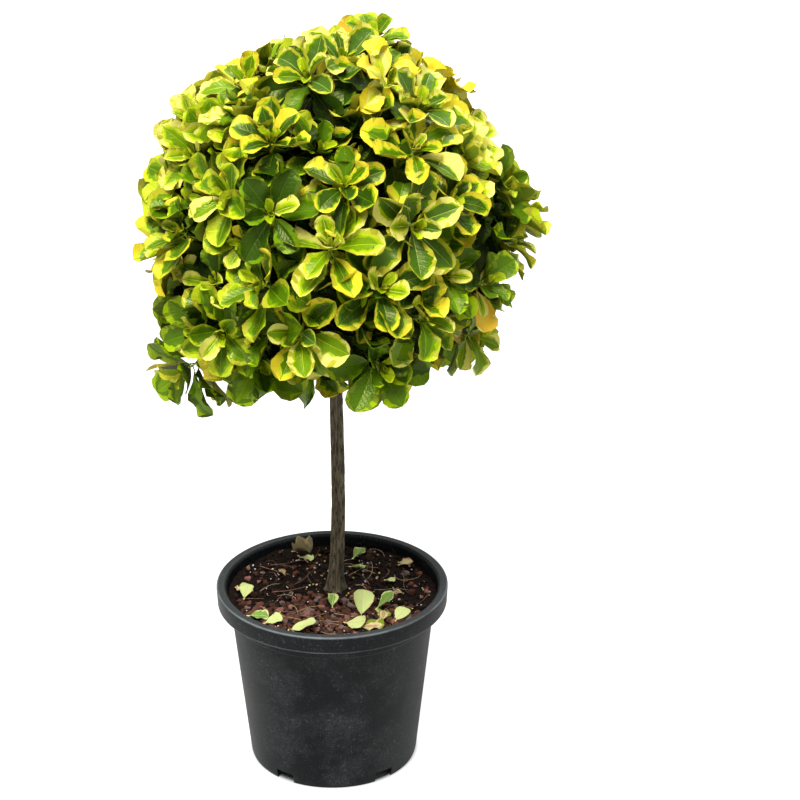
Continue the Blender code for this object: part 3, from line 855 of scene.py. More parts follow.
def bark_material():
    """Grey-brown plates with dark cracks between them, and a film of algae low on the trunk."""
    limbs = settings("limbs")
    made, tree, shader = new_material("fissured_bark")
    grain = place_group(tree, "crumb grain", crumb_grain, Scale=BARK_GRAIN)
    proud = node(tree, "ShaderNodeAttribute", attribute_name="proud").outputs["Fac"]
    spot = spot_on_object(tree)
    low_down = between(tree, axes(tree, spot)[2], 0.20, 0.34, 0.85, 0.30)
    film = times(tree, low_down, between(tree, cloudy(tree, spot, 45.0, 4.0), 0.42, 0.62))
    plates = blended(tree, film, opaque(limbs.bark), opaque(limbs.algae))
    share = times(tree, proud, between(tree, grain["Proud"], 0.0, 1.0, 0.55, 1.0))
    colour = blended(tree, share, opaque(limbs.crack), plates)
    tree.links.new(colour, shader.inputs["Base Color"])
    rough = between(tree, proud, 0.0, 1.0, 0.95, 0.72)
    return finish_material(made, shader, rough, grain["Height"], BARK_RELIEF)


# ------------------------ pot


def wall_radius(height):
    """The pot wall's outer radius at a height. It steps out at the ledge behind the collar."""
    top = POT_RIM_RADIUS - COLLAR_WIDTH
    ledge = LEDGE_WIDTH if height > LEDGE_HEIGHT else 0.0
    return POT_BASE_RADIUS + (top - POT_BASE_RADIUS) * height / POT_HEIGHT + ledge


def inner_radius(height):
    return wall_radius(height) - POT_WALL


def pot_corners():
    """The profile's corners as (radius, height, rounding), down the outside and up the inside."""
    rim, top = POT_RIM_RADIUS, POT_HEIGHT
    skirt = top - COLLAR_HEIGHT
    under_lip = top - POT_WALL * 1.8
    collar = rim - COLLAR_DRAFT
    step = skirt - STACKING_STEP_BELOW_COLLAR
    foot = POT_BASE_RADIUS
    return [
        (rim, top, 0.0019),
        (collar, skirt, 0.0009),
        (collar - POT_WALL, skirt, 0.0006),
        (collar - POT_WALL, under_lip, 0.0010),
        (wall_radius(under_lip), under_lip, 0.0010),
        (wall_radius(LEDGE_TOP), LEDGE_TOP, 0.0006),
        (wall_radius(LEDGE_HEIGHT), LEDGE_HEIGHT, 0.0006),
        (wall_radius(step + 0.0016), step + 0.0016, 0.0004),
        (wall_radius(step) - STACKING_STEP, step, 0.0004),
        (foot, 0.0045, 0.0030),
        (foot - 0.0016, 0.0, 0.0008),
        (foot - FOOT_WALL, 0.0, 0.0005),
        (foot - FOOT_WALL, FOOT_HEIGHT, 0.0010),
        (CENTRE_PAD_RADIUS + 0.004, FOOT_HEIGHT, 0.0015),
        (CENTRE_PAD_RADIUS, 0.0, 0.0012),
        (0.0, 0.0, 0.0),
        (0.0, FLOOR_TOP, 0.0),
        (inner_radius(FOOT_HEIGHT) - 0.001, FLOOR_TOP, 0.0040),
        (inner_radius(LEDGE_HEIGHT), LEDGE_TOP, 0.0006),
        (inner_radius(LEDGE_TOP), LEDGE_TOP, 0.0006),
        (inner_radius(top - 0.003), top - 0.003, 0.0010),
        (rim - RIM_LAND, top, 0.0008),
    ]


def rounded(corners):
    """The profile's points, with each corner that has a rounding turned into a short arc."""
    places = [Vector((radius, height)) for radius, height, _ in corners]
    points = []
    for index, (place, (_, _, rounding)) in enumerate(zip(places, corners)):
        if rounding == 0.0:
            points.append(place)
            continue
        first, last = (
            place + (other - place).normalized() * min(rounding, (other - place).length * 0.45)
            for other in (places[index - 1], places[(index + 1) % len(places)])
        )
        for step in range(CORNER_STEPS + 1):
            share = step / CORNER_STEPS
            points.append(first.lerp(place, share).lerp(place.lerp(last, share), share))
    return points


def turned_mesh(name, profile, segments):
    """A closed profile turned about the pot's axis, with one point for each that is on the axis."""
    bm = bmesh.new()
    rings = []
    for radius, height in profile:
        if radius < 1e-6:
            rings.append([bm.verts.new((0.0, 0.0, height))])
            continue
        turns = [math.tau * index / segments for index in range(segments)]
        places = [(radius * math.sin(turn), -radius * math.cos(turn), height) for turn in turns]
        rings.append([bm.verts.new(place) for place in places])
    for ring, below in zip(rings, rings[1:] + rings[:1]):
        if len(ring) == 1 and len(below) == 1:
            continue
        for index in range(segments):
            following = (index + 1) % segments
            corners = [ring[index % len(ring)], below[index % len(below)]]
            corners += [below[following % len(below)], ring[following % len(ring)]]
            bm.faces.new(list(dict.fromkeys(corners)))
    bmesh.ops.recalc_face_normals(bm, faces=bm.faces)
    mesh = bpy.data.meshes.new(name)
    bm.to_mesh(mesh)
    bm.free()
    return mesh


def box_cutter(name, size, place, turn):
    bm = bmesh.new()
    bmesh.ops.create_cube(bm, size=1.0, matrix=Matrix.Diagonal((*size, 1.0)))
    edges = [
        edge for edge in bm.edges if abs(edge.verts[0].co.z - edge.verts[1].co.z) > size[2] / 2
    ]
    bmesh.ops.bevel(bm, geom=edges, offset=FOOT_SLOT_ROUNDING, segments=3, affect="EDGES")
    return cutter_object(name, bm, place, turn)


def drain_cutter(name, place):
    bm = bmesh.new()
    radii = {"radius1": DRAIN_RADIUS, "radius2": DRAIN_RADIUS}
    bmesh.ops.create_cone(bm, cap_ends=True, segments=DRAIN_SIDES, depth=FOOT_HEIGHT, **radii)
    return cutter_object(name, bm, place, 0.0)


def cutter_object(name, bm, place, turn):
    mesh = bpy.data.meshes.new(name)
    bm.to_mesh(mesh)
    bm.free()
    obj = add_object(name, mesh)
    obj.location = place
    obj.rotation_euler = (0.0, 0.0, turn)
    return obj


def cut_with(obj, cutters):
    """Cuts each of the cutters from the object's mesh and removes them."""
    for cutter in cutters:
        modifier = obj.modifiers.new("Cut", "BOOLEAN")
        modifier.operation = "DIFFERENCE"
        modifier.solver = "EXACT"
        modifier.object = cutter
    bpy.context.view_layer.update()
    graph = bpy.context.evaluated_depsgraph_get()
    cut = bpy.data.meshes.new_from_object(obj.evaluated_get(graph))
    obj.modifiers.clear()
    obj.data = cut
    for cutter in cutters:
        bpy.data.objects.remove(cutter)


def make_pot():
    profile = rounded(pot_corners())
    mesh = turned_mesh("nursery_pot", profile, settings("pot").segments)
    obj = add_object("nursery_pot", mesh)
    cutters = []
    size = (FOOT_SLOT_WIDTH, FOOT_SLOT_DEPTH, (FOOT_HEIGHT - POT_WALL / 2) * 2)
    for number in range(FOOT_SLOTS):
        azimuth = 360.0 / FOOT_SLOTS * (number + 0.5)
        slot = direction(azimuth) * (POT_BASE_RADIUS - FOOT_WALL / 2)
        drain = direction(azimuth) * DRAIN_RING_RADIUS + UP * FOOT_HEIGHT
        cutters.append(box_cutter(f"slot_{number}", size, slot, math.radians(azimuth)))
        cutters.append(drain_cutter(f"drain_{number}", drain))
    cut_with(obj, cutters)
    obj.data.shade_smooth()
    obj.data.set_sharp_from_angle(angle=math.radians(POT_SHARP_DEG))
    obj.data.materials.clear()
    obj.data.materials.append(plastic_material())
    settle(obj, ["pot"])


# ------------------------ soil and what lies on it

CRUMB_SWELLS = ((130.0, 0.55), (300.0, 0.30), (720.0, 0.22))
DRAWS_FOR_PLACE = 40

# Where things gather at the front of the soil: the middle and the spread of their places, x and y.
HEAP = ((-0.018, 0.036), (-0.082, 0.020))
DRIFT = ((-0.012, 0.045), (-0.085, 0.022))
HEAP_GRANULES = 250
HEAP_SPACING = 0.0064
HEAP_SIZES = (0.0034, 0.0052)
STREWN_SPACING = 0.0062
STREWN_IN_DRIFT = 0.10
STREWN_SIZES = (0.0018, 0.0026, 0.0036, 0.0046)
CRUMBS_IN_DRIFT = 0.12
CRUMB_SIZES = (0.0009, 0.0013, 0.0018, 0.0026)
SPECKS_IN_DRIFT = 0.15
SPECK_SIZES = (0.0006, 0.0008, 0.0011, 0.0015)
STRAWS_IN_DRIFT = 0.30
STRAW_STEPS = 8
STRAW_SIDES = 5
STRAW_LENGTHS = (0.012, 0.050)
STRAW_RADII = (0.00022, 0.00046)
STRAW_TAPER = 0.06
STRAW_BEND, STRAW_WAVER = 0.9, 0.12
STRAW_LIFT, STRAW_ARCH = 0.0030, 0.0016
SPECK_LIFT = 0.0022
SOIL_SHARP_DEG, LITTER_SHARP_DEG = 70.0, 80.0

# How many of a litter's pieces have each finish, as shares.
GRANULE_SHARES = {"red_clay": 6, "brown_clay": 6, "grey_clay": 2, "dark_bark": 3, "pink_clay": 2}
CRUMB_SHARES = {"dark_crumb": 5, "brown_crumb": 4, "reddish_crumb": 2}
SPECK_SHARES = {"white_perlite": 5, "cream_perlite": 3, "yellow_feed": 2}
STRAW_SHARES = {"pale_straw": 3, "tan_rootlet": 3, "grey_rootlet": 2}


def from_trunk(x, y):
    return math.hypot(x - TRUNK_FOOT.x, y - TRUNK_FOOT.y)


def soil_height(x, y):
    """Gentle unevenness of the soil, calm round the trunk's foot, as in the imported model."""
    calm = min(1.0, max(0.0, (from_trunk(x, y) - SOIL_CALM_RADIUS) / SOIL_CALM_RADIUS))
    wave = math.sin(41.0 * x + 1.3) * math.cos(37.0 * y - 0.4)
    wave += 0.5 * math.sin(73.0 * x + 61.0 * y)
    return SOIL_TOP + calm * SOIL_UNEVEN * (wave / 1.5 - 0.35)


def crumbs(x, y, relief):
    """The soil's crumbs above its gentle surface."""
    place = Vector((x, y, 0.0))
    lumps = sum(noise.noise(place * scale) * strength for scale, strength in CRUMB_SWELLS)
    return relief * (lumps + 0.12)


def make_soil():
    soil = settings("soil")
    low = FLOOR_TOP + GAP
    ledge = LEDGE_TOP + GAP
    brink = inner_radius(SOIL_TOP) - GAP - 0.0006
    profile = [(0.0, SOIL_TOP)]
    profile += [(brink * (index + 1) / soil.rings, SOIL_TOP) for index in range(soil.rings)]
    profile += [
        (inner_radius(ledge) - GAP, ledge),
        (inner_radius(LEDGE_HEIGHT) - GAP, ledge),
        (inner_radius(low + 0.060) - GAP, low + 0.060),
        (inner_radius(low + 0.008) - GAP, low + 0.008),
        (inner_radius(low) - GAP - 0.006, low),
        (0.0, low),
    ]
    mesh = turned_mesh("soil_surface", profile, soil.rings * 3)
    for vertex in mesh.vertices:
        x, y, z = vertex.co
        if z > SOIL_TOP - 0.001:
            vertex.co.z = soil_height(x, y) + crumbs(x, y, soil.relief)
    mesh.shade_smooth()
    mesh.set_sharp_from_angle(angle=math.radians(SOIL_SHARP_DEG))
    mesh.materials.append(soil_material())
    settle(add_object("soil_surface", mesh), ["potting_soil"])


def near(rng, gathered_at):
    return tuple(rng.gauss(middle, spread) for middle, spread in gathered_at)


def on_soil(rng, in_drift):
    """A place on the soil. The given share of the draws falls in the drift at the front."""
    limit = inner_radius(SOIL_TOP) - 0.004
    while True:
        if rng.random() < in_drift:
            x, y = near(rng, DRIFT)
        else:
            angle, radius = rng.uniform(0.0, math.tau), limit * math.sqrt(rng.random())
            x, y = radius * math.sin(angle), radius * math.cos(angle)
        if math.hypot(x, y) < limit - 0.004 and from_trunk(x, y) > TRUNK_FOOT_RADIUS:
            return x, y


def in_heap(rng):
    """A place in the heap of granules at the front."""
    limit = inner_radius(SOIL_TOP) - 0.007
    while True:
        x, y = near(rng, HEAP)
        if math.hypot(x, y) < limit:
            return x, y


def strewn(rng):
    return on_soil(rng, STREWN_IN_DRIFT)


def spread_out(rng, count, spacing, draw):
    """Up to count places drawn at random, each at least spacing from the others."""
    kept = []
    for _ in range(count * DRAWS_FOR_PLACE):
        place = draw(rng)
        if all(math.hypot(place[0] - x, place[1] - y) >= spacing for x, y in kept):
            kept.append(place)
            if len(kept) == count:
                break
    return kept


def ball(subdivisions):
    """Points and triangles of a unit ball."""
    bm = bmesh.new()
    bmesh.ops.create_icosphere(bm, subdivisions=subdivisions, radius=1.0)
    points = np.array([vertex.co for vertex in bm.verts])
    triangles = np.array([[vertex.index for vertex in face.verts] for face in bm.faces])
    bm.free()
    return points, triangles


def lump(rng, points, size, flat, rough):
    """A ball's points made an irregular, flattened lump, turned about the vertical."""
    seed = Vector((rng.uniform(0, 50), rng.uniform(0, 50), rng.uniform(0, 50)))
    swell = [1.0 + rough * noise.noise(Vector(point) * 1.4 + seed) for point in points]
    sizes = np.array([size, size * rng.uniform(0.65, 1.0), size * flat])
    turn = Matrix.Rotation(rng.uniform(0, math.tau), 3, "Z")
    turn = turn @ Matrix.Rotation(rng.uniform(-0.5, 0.5), 3, "X")
    return points * np.array(swell)[:, None] * sizes @ np.array(turn).T


def drawn_finish(rng, finishes):
    return rng.choices(range(len(finishes)), finishes.values())[0]


def settle_litter(gathered, name, finishes):
    materials = [crumb_material(finish) for finish in finishes]
    settle(gathered.to_object(name, materials, LITTER_SHARP_DEG), [])


def make_granules():
    """Reddish clay granules: a heap laid close at the front and others strewn elsewhere."""
    rng = draws("granules")
    gathered = Gathered()
    points, triangles = ball(2)
    places = spread_out(rng, HEAP_GRANULES, HEAP_SPACING, in_heap)
    granules = [(place, rng.uniform(*HEAP_SIZES)) for place in places]
    places = spread_out(rng, settings("soil").granules, STREWN_SPACING, strewn)
    granules += [(place, rng.choice(STREWN_SIZES)) for place in places]
    for (x, y), size in granules:
        shaped = lump(rng, points, size, rng.uniform(0.55, 0.85), 0.95)
        height = soil_height(x, y) + size * rng.uniform(0.20, 0.50)
        gathered.add(shaped + (x, y, height), triangles, drawn_finish(rng, GRANULE_SHARES))
    settle_litter(gathered, "soil_granules", GRANULE_SHARES)


def make_crumbs():
    """Small dark crumbs of peat and bark that roughen the soil."""
    rng = draws("crumbs")
    gathered = Gathered()
    points, triangles = ball(1)
    for _ in range(settings("soil").crumbs):
        x, y = on_soil(rng, CRUMBS_IN_DRIFT)
        size = rng.choice(CRUMB_SIZES) * rng.uniform(0.8, 1.2)
        shaped = lump(rng, points, size, rng.uniform(0.4, 0.9), 0.9)
        height = soil_height(x, y) + rng.uniform(0.0, 0.0014)
        gathered.add(shaped + (x, y, height), triangles, drawn_finish(rng, CRUMB_SHARES))
    settle_litter(gathered, "soil_crumbs", CRUMB_SHARES)


def make_specks():
    """Small white and yellowish specks of perlite and feed."""
    rng = draws("specks")
    gathered = Gathered()
    points, triangles = ball(1)
    for _ in range(settings("soil").specks):
        x, y = on_soil(rng, SPECKS_IN_DRIFT)
        size = rng.choice(SPECK_SIZES) * rng.uniform(0.8, 1.2)
        shaped = lump(rng, points, size, 0.8, 0.5)
        height = soil_height(x, y) + SPECK_LIFT + size * 0.4
        gathered.add(shaped + (x, y, height), triangles, drawn_finish(rng, SPECK_SHARES))
    settle_litter(gathered, "soil_specks", SPECK_SHARES)


def make_straws():
    """Dry rootlets and straws that lie bent on the soil."""
    rng = draws("straws")
    gathered = Gathered()
    for _ in range(settings("soil").straws):
        x, y = on_soil(rng, STRAWS_IN_DRIFT)
        heading, length = rng.uniform(0.0, math.tau), rng.uniform(*STRAW_LENGTHS)
        bend, radius = rng.gauss(0.0, STRAW_BEND), rng.uniform(*STRAW_RADII)
        path = []
        for step in range(STRAW_STEPS + 1):
            arch = STRAW_ARCH * math.sin(step / STRAW_STEPS * math.pi)
            path.append((x, y, soil_height(x, y) + STRAW_LIFT + arch))
            heading += bend / STRAW_STEPS + rng.gauss(0.0, STRAW_WAVER)
            x += math.cos(heading) * length / STRAW_STEPS
            y += math.sin(heading) * length / STRAW_STEPS
        if max(math.hypot(px, py) for px, py, _ in path) > inner_radius(SOIL_TOP) - 0.003:
            continue
        if min(from_trunk(px, py) for px, py, _ in path) < TRUNK_FOOT_RADIUS:
            continue
        radii = [radius * (1.0 - STRAW_TAPER * step) for step in range(STRAW_STEPS + 1)]
        points, triangles = tube(path, radii, STRAW_SIDES)
        gathered.add(points, triangles, drawn_finish(rng, STRAW_SHARES))
    settle_litter(gathered, "soil_straws", STRAW_SHARES)


# ------------------------ trunk and boughs


def trunk_point(share):
    """The trunk's centre line, from foot (0) to fork (1), with a slight sway."""
    sway = math.sin(share * math.tau * 0.9) * TRUNK_SWAY * min(1.0, share * 8.0)
    return TRUNK_FOOT.lerp(FORK, share) + Vector((sway, sway * 0.6, 0.0))


def trunk_radius(share):
    height = (FORK.z - TRUNK_FOOT.z) * share
    flare = math.exp(-height / ROOT_FLARE_HEIGHT)
    slim = TRUNK_RADIUS + (TRUNK_FORK_RADIUS - TRUNK_RADIUS) * share
    return slim + (TRUNK_FOOT_RADIUS - TRUNK_RADIUS) * flare


def outline_scale(away):
    """How far out places from the head's centre lie: 0 at the centre and 1 at the outline."""
    scaled = np.abs(away) / np.array(HEAD_RADII)
    level = np.hypot(scaled[:, 0], scaled[:, 1])
    fullness = np.where(away[:, 2] > 0.0, FULLNESS_ABOVE, FULLNESS_BELOW)
    rounded = (level**fullness + scaled[:, 2] ** fullness) ** (1.0 / fullness)
    headings = away / np.maximum(np.linalg.norm(away, axis=1, keepdims=True), 1e-9)
    swell = np.ones(len(away))
    for azimuth, elevation, height, radius_deg in LOBES:
        turn = np.arccos(np.clip(headings @ np.array(direction(azimuth, elevation)), -1.0, 1.0))
        swell += height * np.exp(-((turn / math.radians(radius_deg)) ** 2))
    return rounded / swell


def to_outline(heading):
    """The distance from the head's centre to its outline."""
    return float(1.0 / outline_scale(np.array([heading]))[0])


class Mass:
    """One mass of foliage: its name, its seat in the head, and the line of its bough."""

    def __init__(self, label, azimuth, elevation, leaves_trunk_at):
        self.label = label
        heading = direction(azimuth, elevation)
        self.seat = HEAD_CENTRE + heading * to_outline(heading) * SEAT_SHARE
        self.is_leader = leaves_trunk_at >= 1.0
        start = trunk_point(leaves_trunk_at)
        handle = start + UP * LEADER_UP
        if not self.is_leader:
            level = Vector((heading.x, heading.y, 0.0)).normalized()
            handle = start + level * BOUGH_OUT + UP * BOUGH_UP
        self.line = []
        for index in range(BOUGH_POINTS):
            share = index / (BOUGH_POINTS - 1)
            self.line.append(start.lerp(handle, share).lerp(handle.lerp(self.seat, share), share))

    def point(self, share):
        return self.line[round(share * (len(self.line) - 1))]


def head_masses():
    """One mass on top, a ring above the middle and a ring below it, each on its own bough."""
    masses = [Mass("top", 0.0, 90.0, 1.0)]
    for index in range(UPPER_MASSES):
        azimuth = 360.0 * (index + 0.5) / UPPER_MASSES
        leaves_at = UPPER_LEAVES_AT - UPPER_STEP_DOWN * (index * 2 % UPPER_MASSES)
        masses.append(Mass(f"upper_{index + 1}", azimuth, UPPER_ELEVATION, leaves_at))
    for index in range(LOWER_MASSES):
        azimuth = 360.0 * index / LOWER_MASSES
        leaves_at = LOWER_LEAVES_AT - LOWER_STEP_DOWN * (index % 2)
        masses.append(Mass(f"lower_{index + 1}", azimuth, LOWER_ELEVATION, leaves_at))
    return masses


def bark_height(place, turn, fine):
    """0 in a crack and 1 on a plate, at a turn round a limb. Cracks run along the limb and fork."""
    spot = Vector((math.cos(turn) * 2.6, math.sin(turn) * 2.6, place.z * 42.0 * fine))
    wander = noise.noise(spot * 0.7) * 1.3
    ridge = abs(noise.noise(Vector((spot.x * 1.5 + wander, spot.y * 1.5, spot.z))))
    rough = noise.noise(Vector((spot.x * 5.0, spot.y * 5.0, place.z * 420.0))) * 0.25
    return min(1.0, max(0.0, ridge * 3.2 + rough))


def barked_limb(path, radii, sides, fissure, fine):
    """A limb's points and triangles with its bark's relief, and how proud each point stands."""
    points, triangles = tube(path, radii, sides)
    centres = [Vector(point) for point in path]
    proud = np.ones(len(points))
    for row, centre in enumerate(centres):
        for column in range(sides):
            index = row * sides + column
            proud[index] = bark_height(centre, math.tau * column / sides, fine)
            away = points[index] - np.array(centre)
            points[index] -= away / np.linalg.norm(away) * fissure * (1.0 - proud[index])
    return points, triangles, proud


def barked_trunk():
    """The trunk, whose root flare is parted into ribs."""
    limbs = settings("limbs")
    shares = [(index / TRUNK_STEPS) ** TRUNK_CROWDING for index in range(TRUNK_STEPS + 1)]
    path = [trunk_point(share) for share in shares]
    radii = [trunk_radius(share) for share in shares]
    points, triangles, proud = barked_limb(path, radii, limbs.sides, limbs.fissure, 1.0)
    centre = np.array([TRUNK_FOOT.x, TRUNK_FOOT.y])
    for index, point in enumerate(points):
        flare = math.exp(-(point[2] - SOIL_TOP) / ROOT_FLARE_HEIGHT)
        turn = math.atan2(point[1] - centre[1], point[0] - centre[0])
        ribs = 1.0 + flare * 0.14 * math.sin(turn * 4.0 + 0.8) - flare * 0.10
        points[index][:2] = centre + (point[:2] - centre) * ribs
    return points, triangles, proud


def barked_bough(mass):
    """The bough of a mass, which swells where it leaves the trunk."""
    butt = LEADER_RADIUS if mass.is_leader else BOUGH_RADIUS
    path = []
    for first, second in zip(mass.line, mass.line[1:]):
        path += [first, first.lerp(second, 0.5)]
    radii = []
    for index in range(len(path)):
        taper = 1.0 - (1.0 - BOUGH_END_SHARE) * index / len(path)
        radii.append(butt * taper * (1.0 + 0.5 * math.exp(-index / 3.0)))
    fissure = settings("limbs").fissure * BOUGH_FISSURE_SHARE
    return barked_limb(path, radii, BOUGH_SIDES, fissure, BOUGH_FINENESS)


def make_limbs():
    """The trunk and its boughs, with the relief of their bark."""
    masses = head_masses()
    gathered = Gathered()
    proud = []
    for points, triangles, stands in [barked_trunk(), *map(barked_bough, masses)]:
        gathered.add(points, triangles, 0)
        proud.append(stands)
    obj = gathered.to_object("trunk_and_boughs", [bark_material()], LIMB_SHARP_DEG)
    layer = obj.data.attributes.new("proud", "FLOAT", "POINT")
    layer.data.foreach_set("value", np.concatenate(proud).astype(np.float32))
    settle(obj, ["trunk"] + [f"bough_{mass.label}" for mass in masses])


# ------------------------ twigs


Twig = namedtuple("Twig", "number mass path side order openness tint")


def golden_headings(count, start=0.0):
    """Headings from the head's centre, spread evenly all round by the golden angle."""
    for index in range(count):
        rise = 1.0 - 2.0 * (index + 0.5) / count
        level = math.sqrt(1.0 - rise * rise)
        turn = index * GOLDEN_ANGLE + start
        yield Vector((math.cos(turn) * level, math.sin(turn) * level, rise))


def towards_light(axis):
    """The way in which a shoot's end turns: upwards, and to the front at the sides of the head."""
    forward = FRONT_TURN * max(0.0, 1.0 - abs(axis.y) / FRONT_TURN_WITHIN)
    turned = Vector((axis.x, axis.y - forward, axis.z * RISE_KEPT + UPWARD_TURN))
    return turned.normalized()


def beside_trunk(tip):
    return math.hypot(tip.x - FORK.x, tip.y - FORK.y) < BARE_RADIUS and tip.z < HEAD_CENTRE.z


def bent_path(start, setting_out, tip, arriving):
    """A twig's line from start to tip, with the directions in which it sets out and arrives."""
    reach = (tip - start).length
    handles = start + setting_out * reach * 0.36, tip - arriving * reach * 0.34
    return [bezier(start, *handles, tip, index / (TWIG_POINTS - 1)) for index in range(TWIG_POINTS)]


def hollow(heading):
    """How much deeper than the rest the shoots end in a heading from the head's centre."""
    total = 0.0
    for azimuth, elevation, depth in HOLLOWS:
        angle = heading.angle(direction(azimuth, elevation))
        total += depth * math.exp(-((angle / HOLLOW_SPREAD) ** 2) / 2)
    return total


def plan_shoots():
    """The number, heading, reach, openness and tint of every main shoot."""
    placed = []
    for number, (azimuth, elevation, reach, tint) in enumerate(SPRAYS, FIRST_SPRAY):
        heading = direction(azimuth, elevation)
        placed.append(heading)
        yield number, heading, reach, draws("shoots", number).uniform(*SPRAY_OPENNESS), tint
    for number, heading in enumerate(golden_headings(SHOOTS)):
        if min(heading.angle(other) for other in placed) < SPRAY_ROOM:
            continue
        rng = draws("shoots", number)
        openness = rng.uniform(*OPENNESS)
        inset = SHOOT_INSET + rng.uniform(-SHOOT_INSET_LESS, SHOOT_INSET_MORE) + rng.choice(DEEPER)
        inset += hollow(heading) + (OPENNESS[1] - openness) * INSET_WHEN_CLOSED
        inset += heading.cross(towards_light(heading)).length * INSET_WHEN_LEANING
        yield number, heading, to_outline(heading) - inset, openness, None


def plan_twigs(masses):
    """Bent twigs out of the boughs to the main shoots, then side twigs out of the nearest ones."""
    twigs = []
    for number, heading, reach, openness, tint in plan_shoots():
        rng = draws("twigs", number)
        tip = HEAD_CENTRE + heading * reach
        if beside_trunk(tip):
            continue
        mass = min(masses, key=lambda each: (each.seat - tip).length)
        start = mass.point(rng.uniform(0.70, 1.0))
        ahead = (mass.point(1.0) - mass.point(0.8)).normalized()
        axis = (tip - start).normalized()
        path = bent_path(start, (ahead + axis).normalized(), tip, towards_light(axis))
        twigs.append(Twig(number, mass, path, rng.uniform(0.0, math.tau), 0, openness, tint))
    main_twigs = list(twigs)
    for number, heading in enumerate(golden_headings(SIDE_SHOOTS, SIDE_START), FIRST_SIDE_SHOOT):
        rng = draws("shoots", number)
        inset = rng.uniform(*SIDE_INSET) + hollow(heading)
        tip = HEAD_CENTRE + heading * (to_outline(heading) - inset)
        if beside_trunk(tip):
            continue
        parent = min(main_twigs, key=lambda twig: (twig.path[-1] - tip).length)
        at = round(rng.uniform(*SIDE_LEAVES_AT) * (TWIG_POINTS - 1))
        start = parent.path[at]
        ahead = (parent.path[at + 1] - parent.path[at]).normalized()
        axis = (tip - start).normalized()
        setting_out = (ahead + axis * SIDE_SETS_OUT).normalized()
        path = bent_path(start, setting_out, tip, towards_light(axis))
        side, openness = rng.uniform(0.0, math.tau), rng.uniform(*OPENNESS)
        twigs.append(Twig(number, parent.mass, path, side, 1, openness, None))
    return twigs


def make_twigs():
    """The twigs of each mass: brown where they leave the bough and green towards their tips."""
    masses = head_masses()
    twigs = plan_twigs(masses)
    materials = [crumb_material(name) for name in ("brown_twig", "green_twig", "young_twig")]
    for mass in masses:
        gathered = Gathered()
        for twig in twigs:
            if twig.mass is not mass:
                continue
            butt = TWIG_RADIUS if twig.order == 0 else TWIG_RADIUS * SIDE_TWIG_SHARE
            narrower = TWIG_TIP_RADIUS - butt
            radii = [butt + narrower * step / (TWIG_POINTS - 1) for step in range(TWIG_POINTS)]
            points, triangles = tube(twig.path, radii, TWIG_SIDES)
            rows = np.arange(len(triangles)) // (TWIG_SIDES * 2)
            rows = np.minimum(rows, TWIG_POINTS - 1) + twig.order * 2
            gathered.add(points, triangles, np.searchsorted(TWIG_FINISHES_FROM, rows, side="right"))
        obj = gathered.to_object(f"twigs_{mass.label}", materials)
        settle(obj, [f"foliage_{mass.label}"])


# ------------------------ leaves

# Colours of the leaf, in the order in which every piece of leaves holds them.
LEAF_COLOURS = {
    "rib": (0.420, 0.520, 0.090),
    "lemon": (0.740, 0.700, 0.145),
    "gold": (0.720, 0.590, 0.028),
    "amber": (0.640, 0.400, 0.026),
    "lime_edge": (0.500, 0.595, 0.018),
    "lime": (0.310, 0.438, 0.003),
    "fresh": (0.144, 0.264, 0.002),
    "green": (0.074, 0.162, 0.002),
    "deep": (0.026, 0.068, 0.002),
    # Painted sheen: a grey-blue green for the sky's sheen on a leaf's centre.
    "bluish": (0.058, 0.130, 0.012),
    "shade": (0.007, 0.018, 0.002),
    "pale_under": (0.150, 0.215, 0.010),
    "gold_under": (0.440, 0.420, 0.024),
    "dull_under": (0.050, 0.088, 0.004),
    "faded": (0.520, 0.600, 0.230),
    "soft_green": (0.170, 0.290, 0.055),
    "ash": (0.330, 0.280, 0.210),
    "cream": (0.560, 0.460, 0.230),
    "pink": (0.400, 0.210, 0.130),
    "dead": (0.120, 0.065, 0.032),
}
LEAF_NUMBERS = {name: number for number, name in enumerate(LEAF_COLOURS)}
GLOSS_TINT = (0.96, 1.00, 0.40)

# How much rougher than the upper side some colours are.
DULLER = {
    "pale_under": 0.25,
    "gold_under": 0.25,
    "dull_under": 0.25,
    "cream": 0.35,
    "pink": 0.40,
    "dead": 0.45,
    "shade": 0.15,
}

Tint = namedtuple("Tint", "colours reaches runs")


def tint(colours, centre, inner, outer, runs):
    """The looks of one kind of leaf.

    Colours are of midrib, centre, inner band, outer band, edge, underside and its edge. Then come
    how far the centre and the bands reach across the blade, and how far along it the centre runs.
    """
    return Tint([LEAF_NUMBERS[name] for name in colours.split()], (centre, inner, outer), runs)


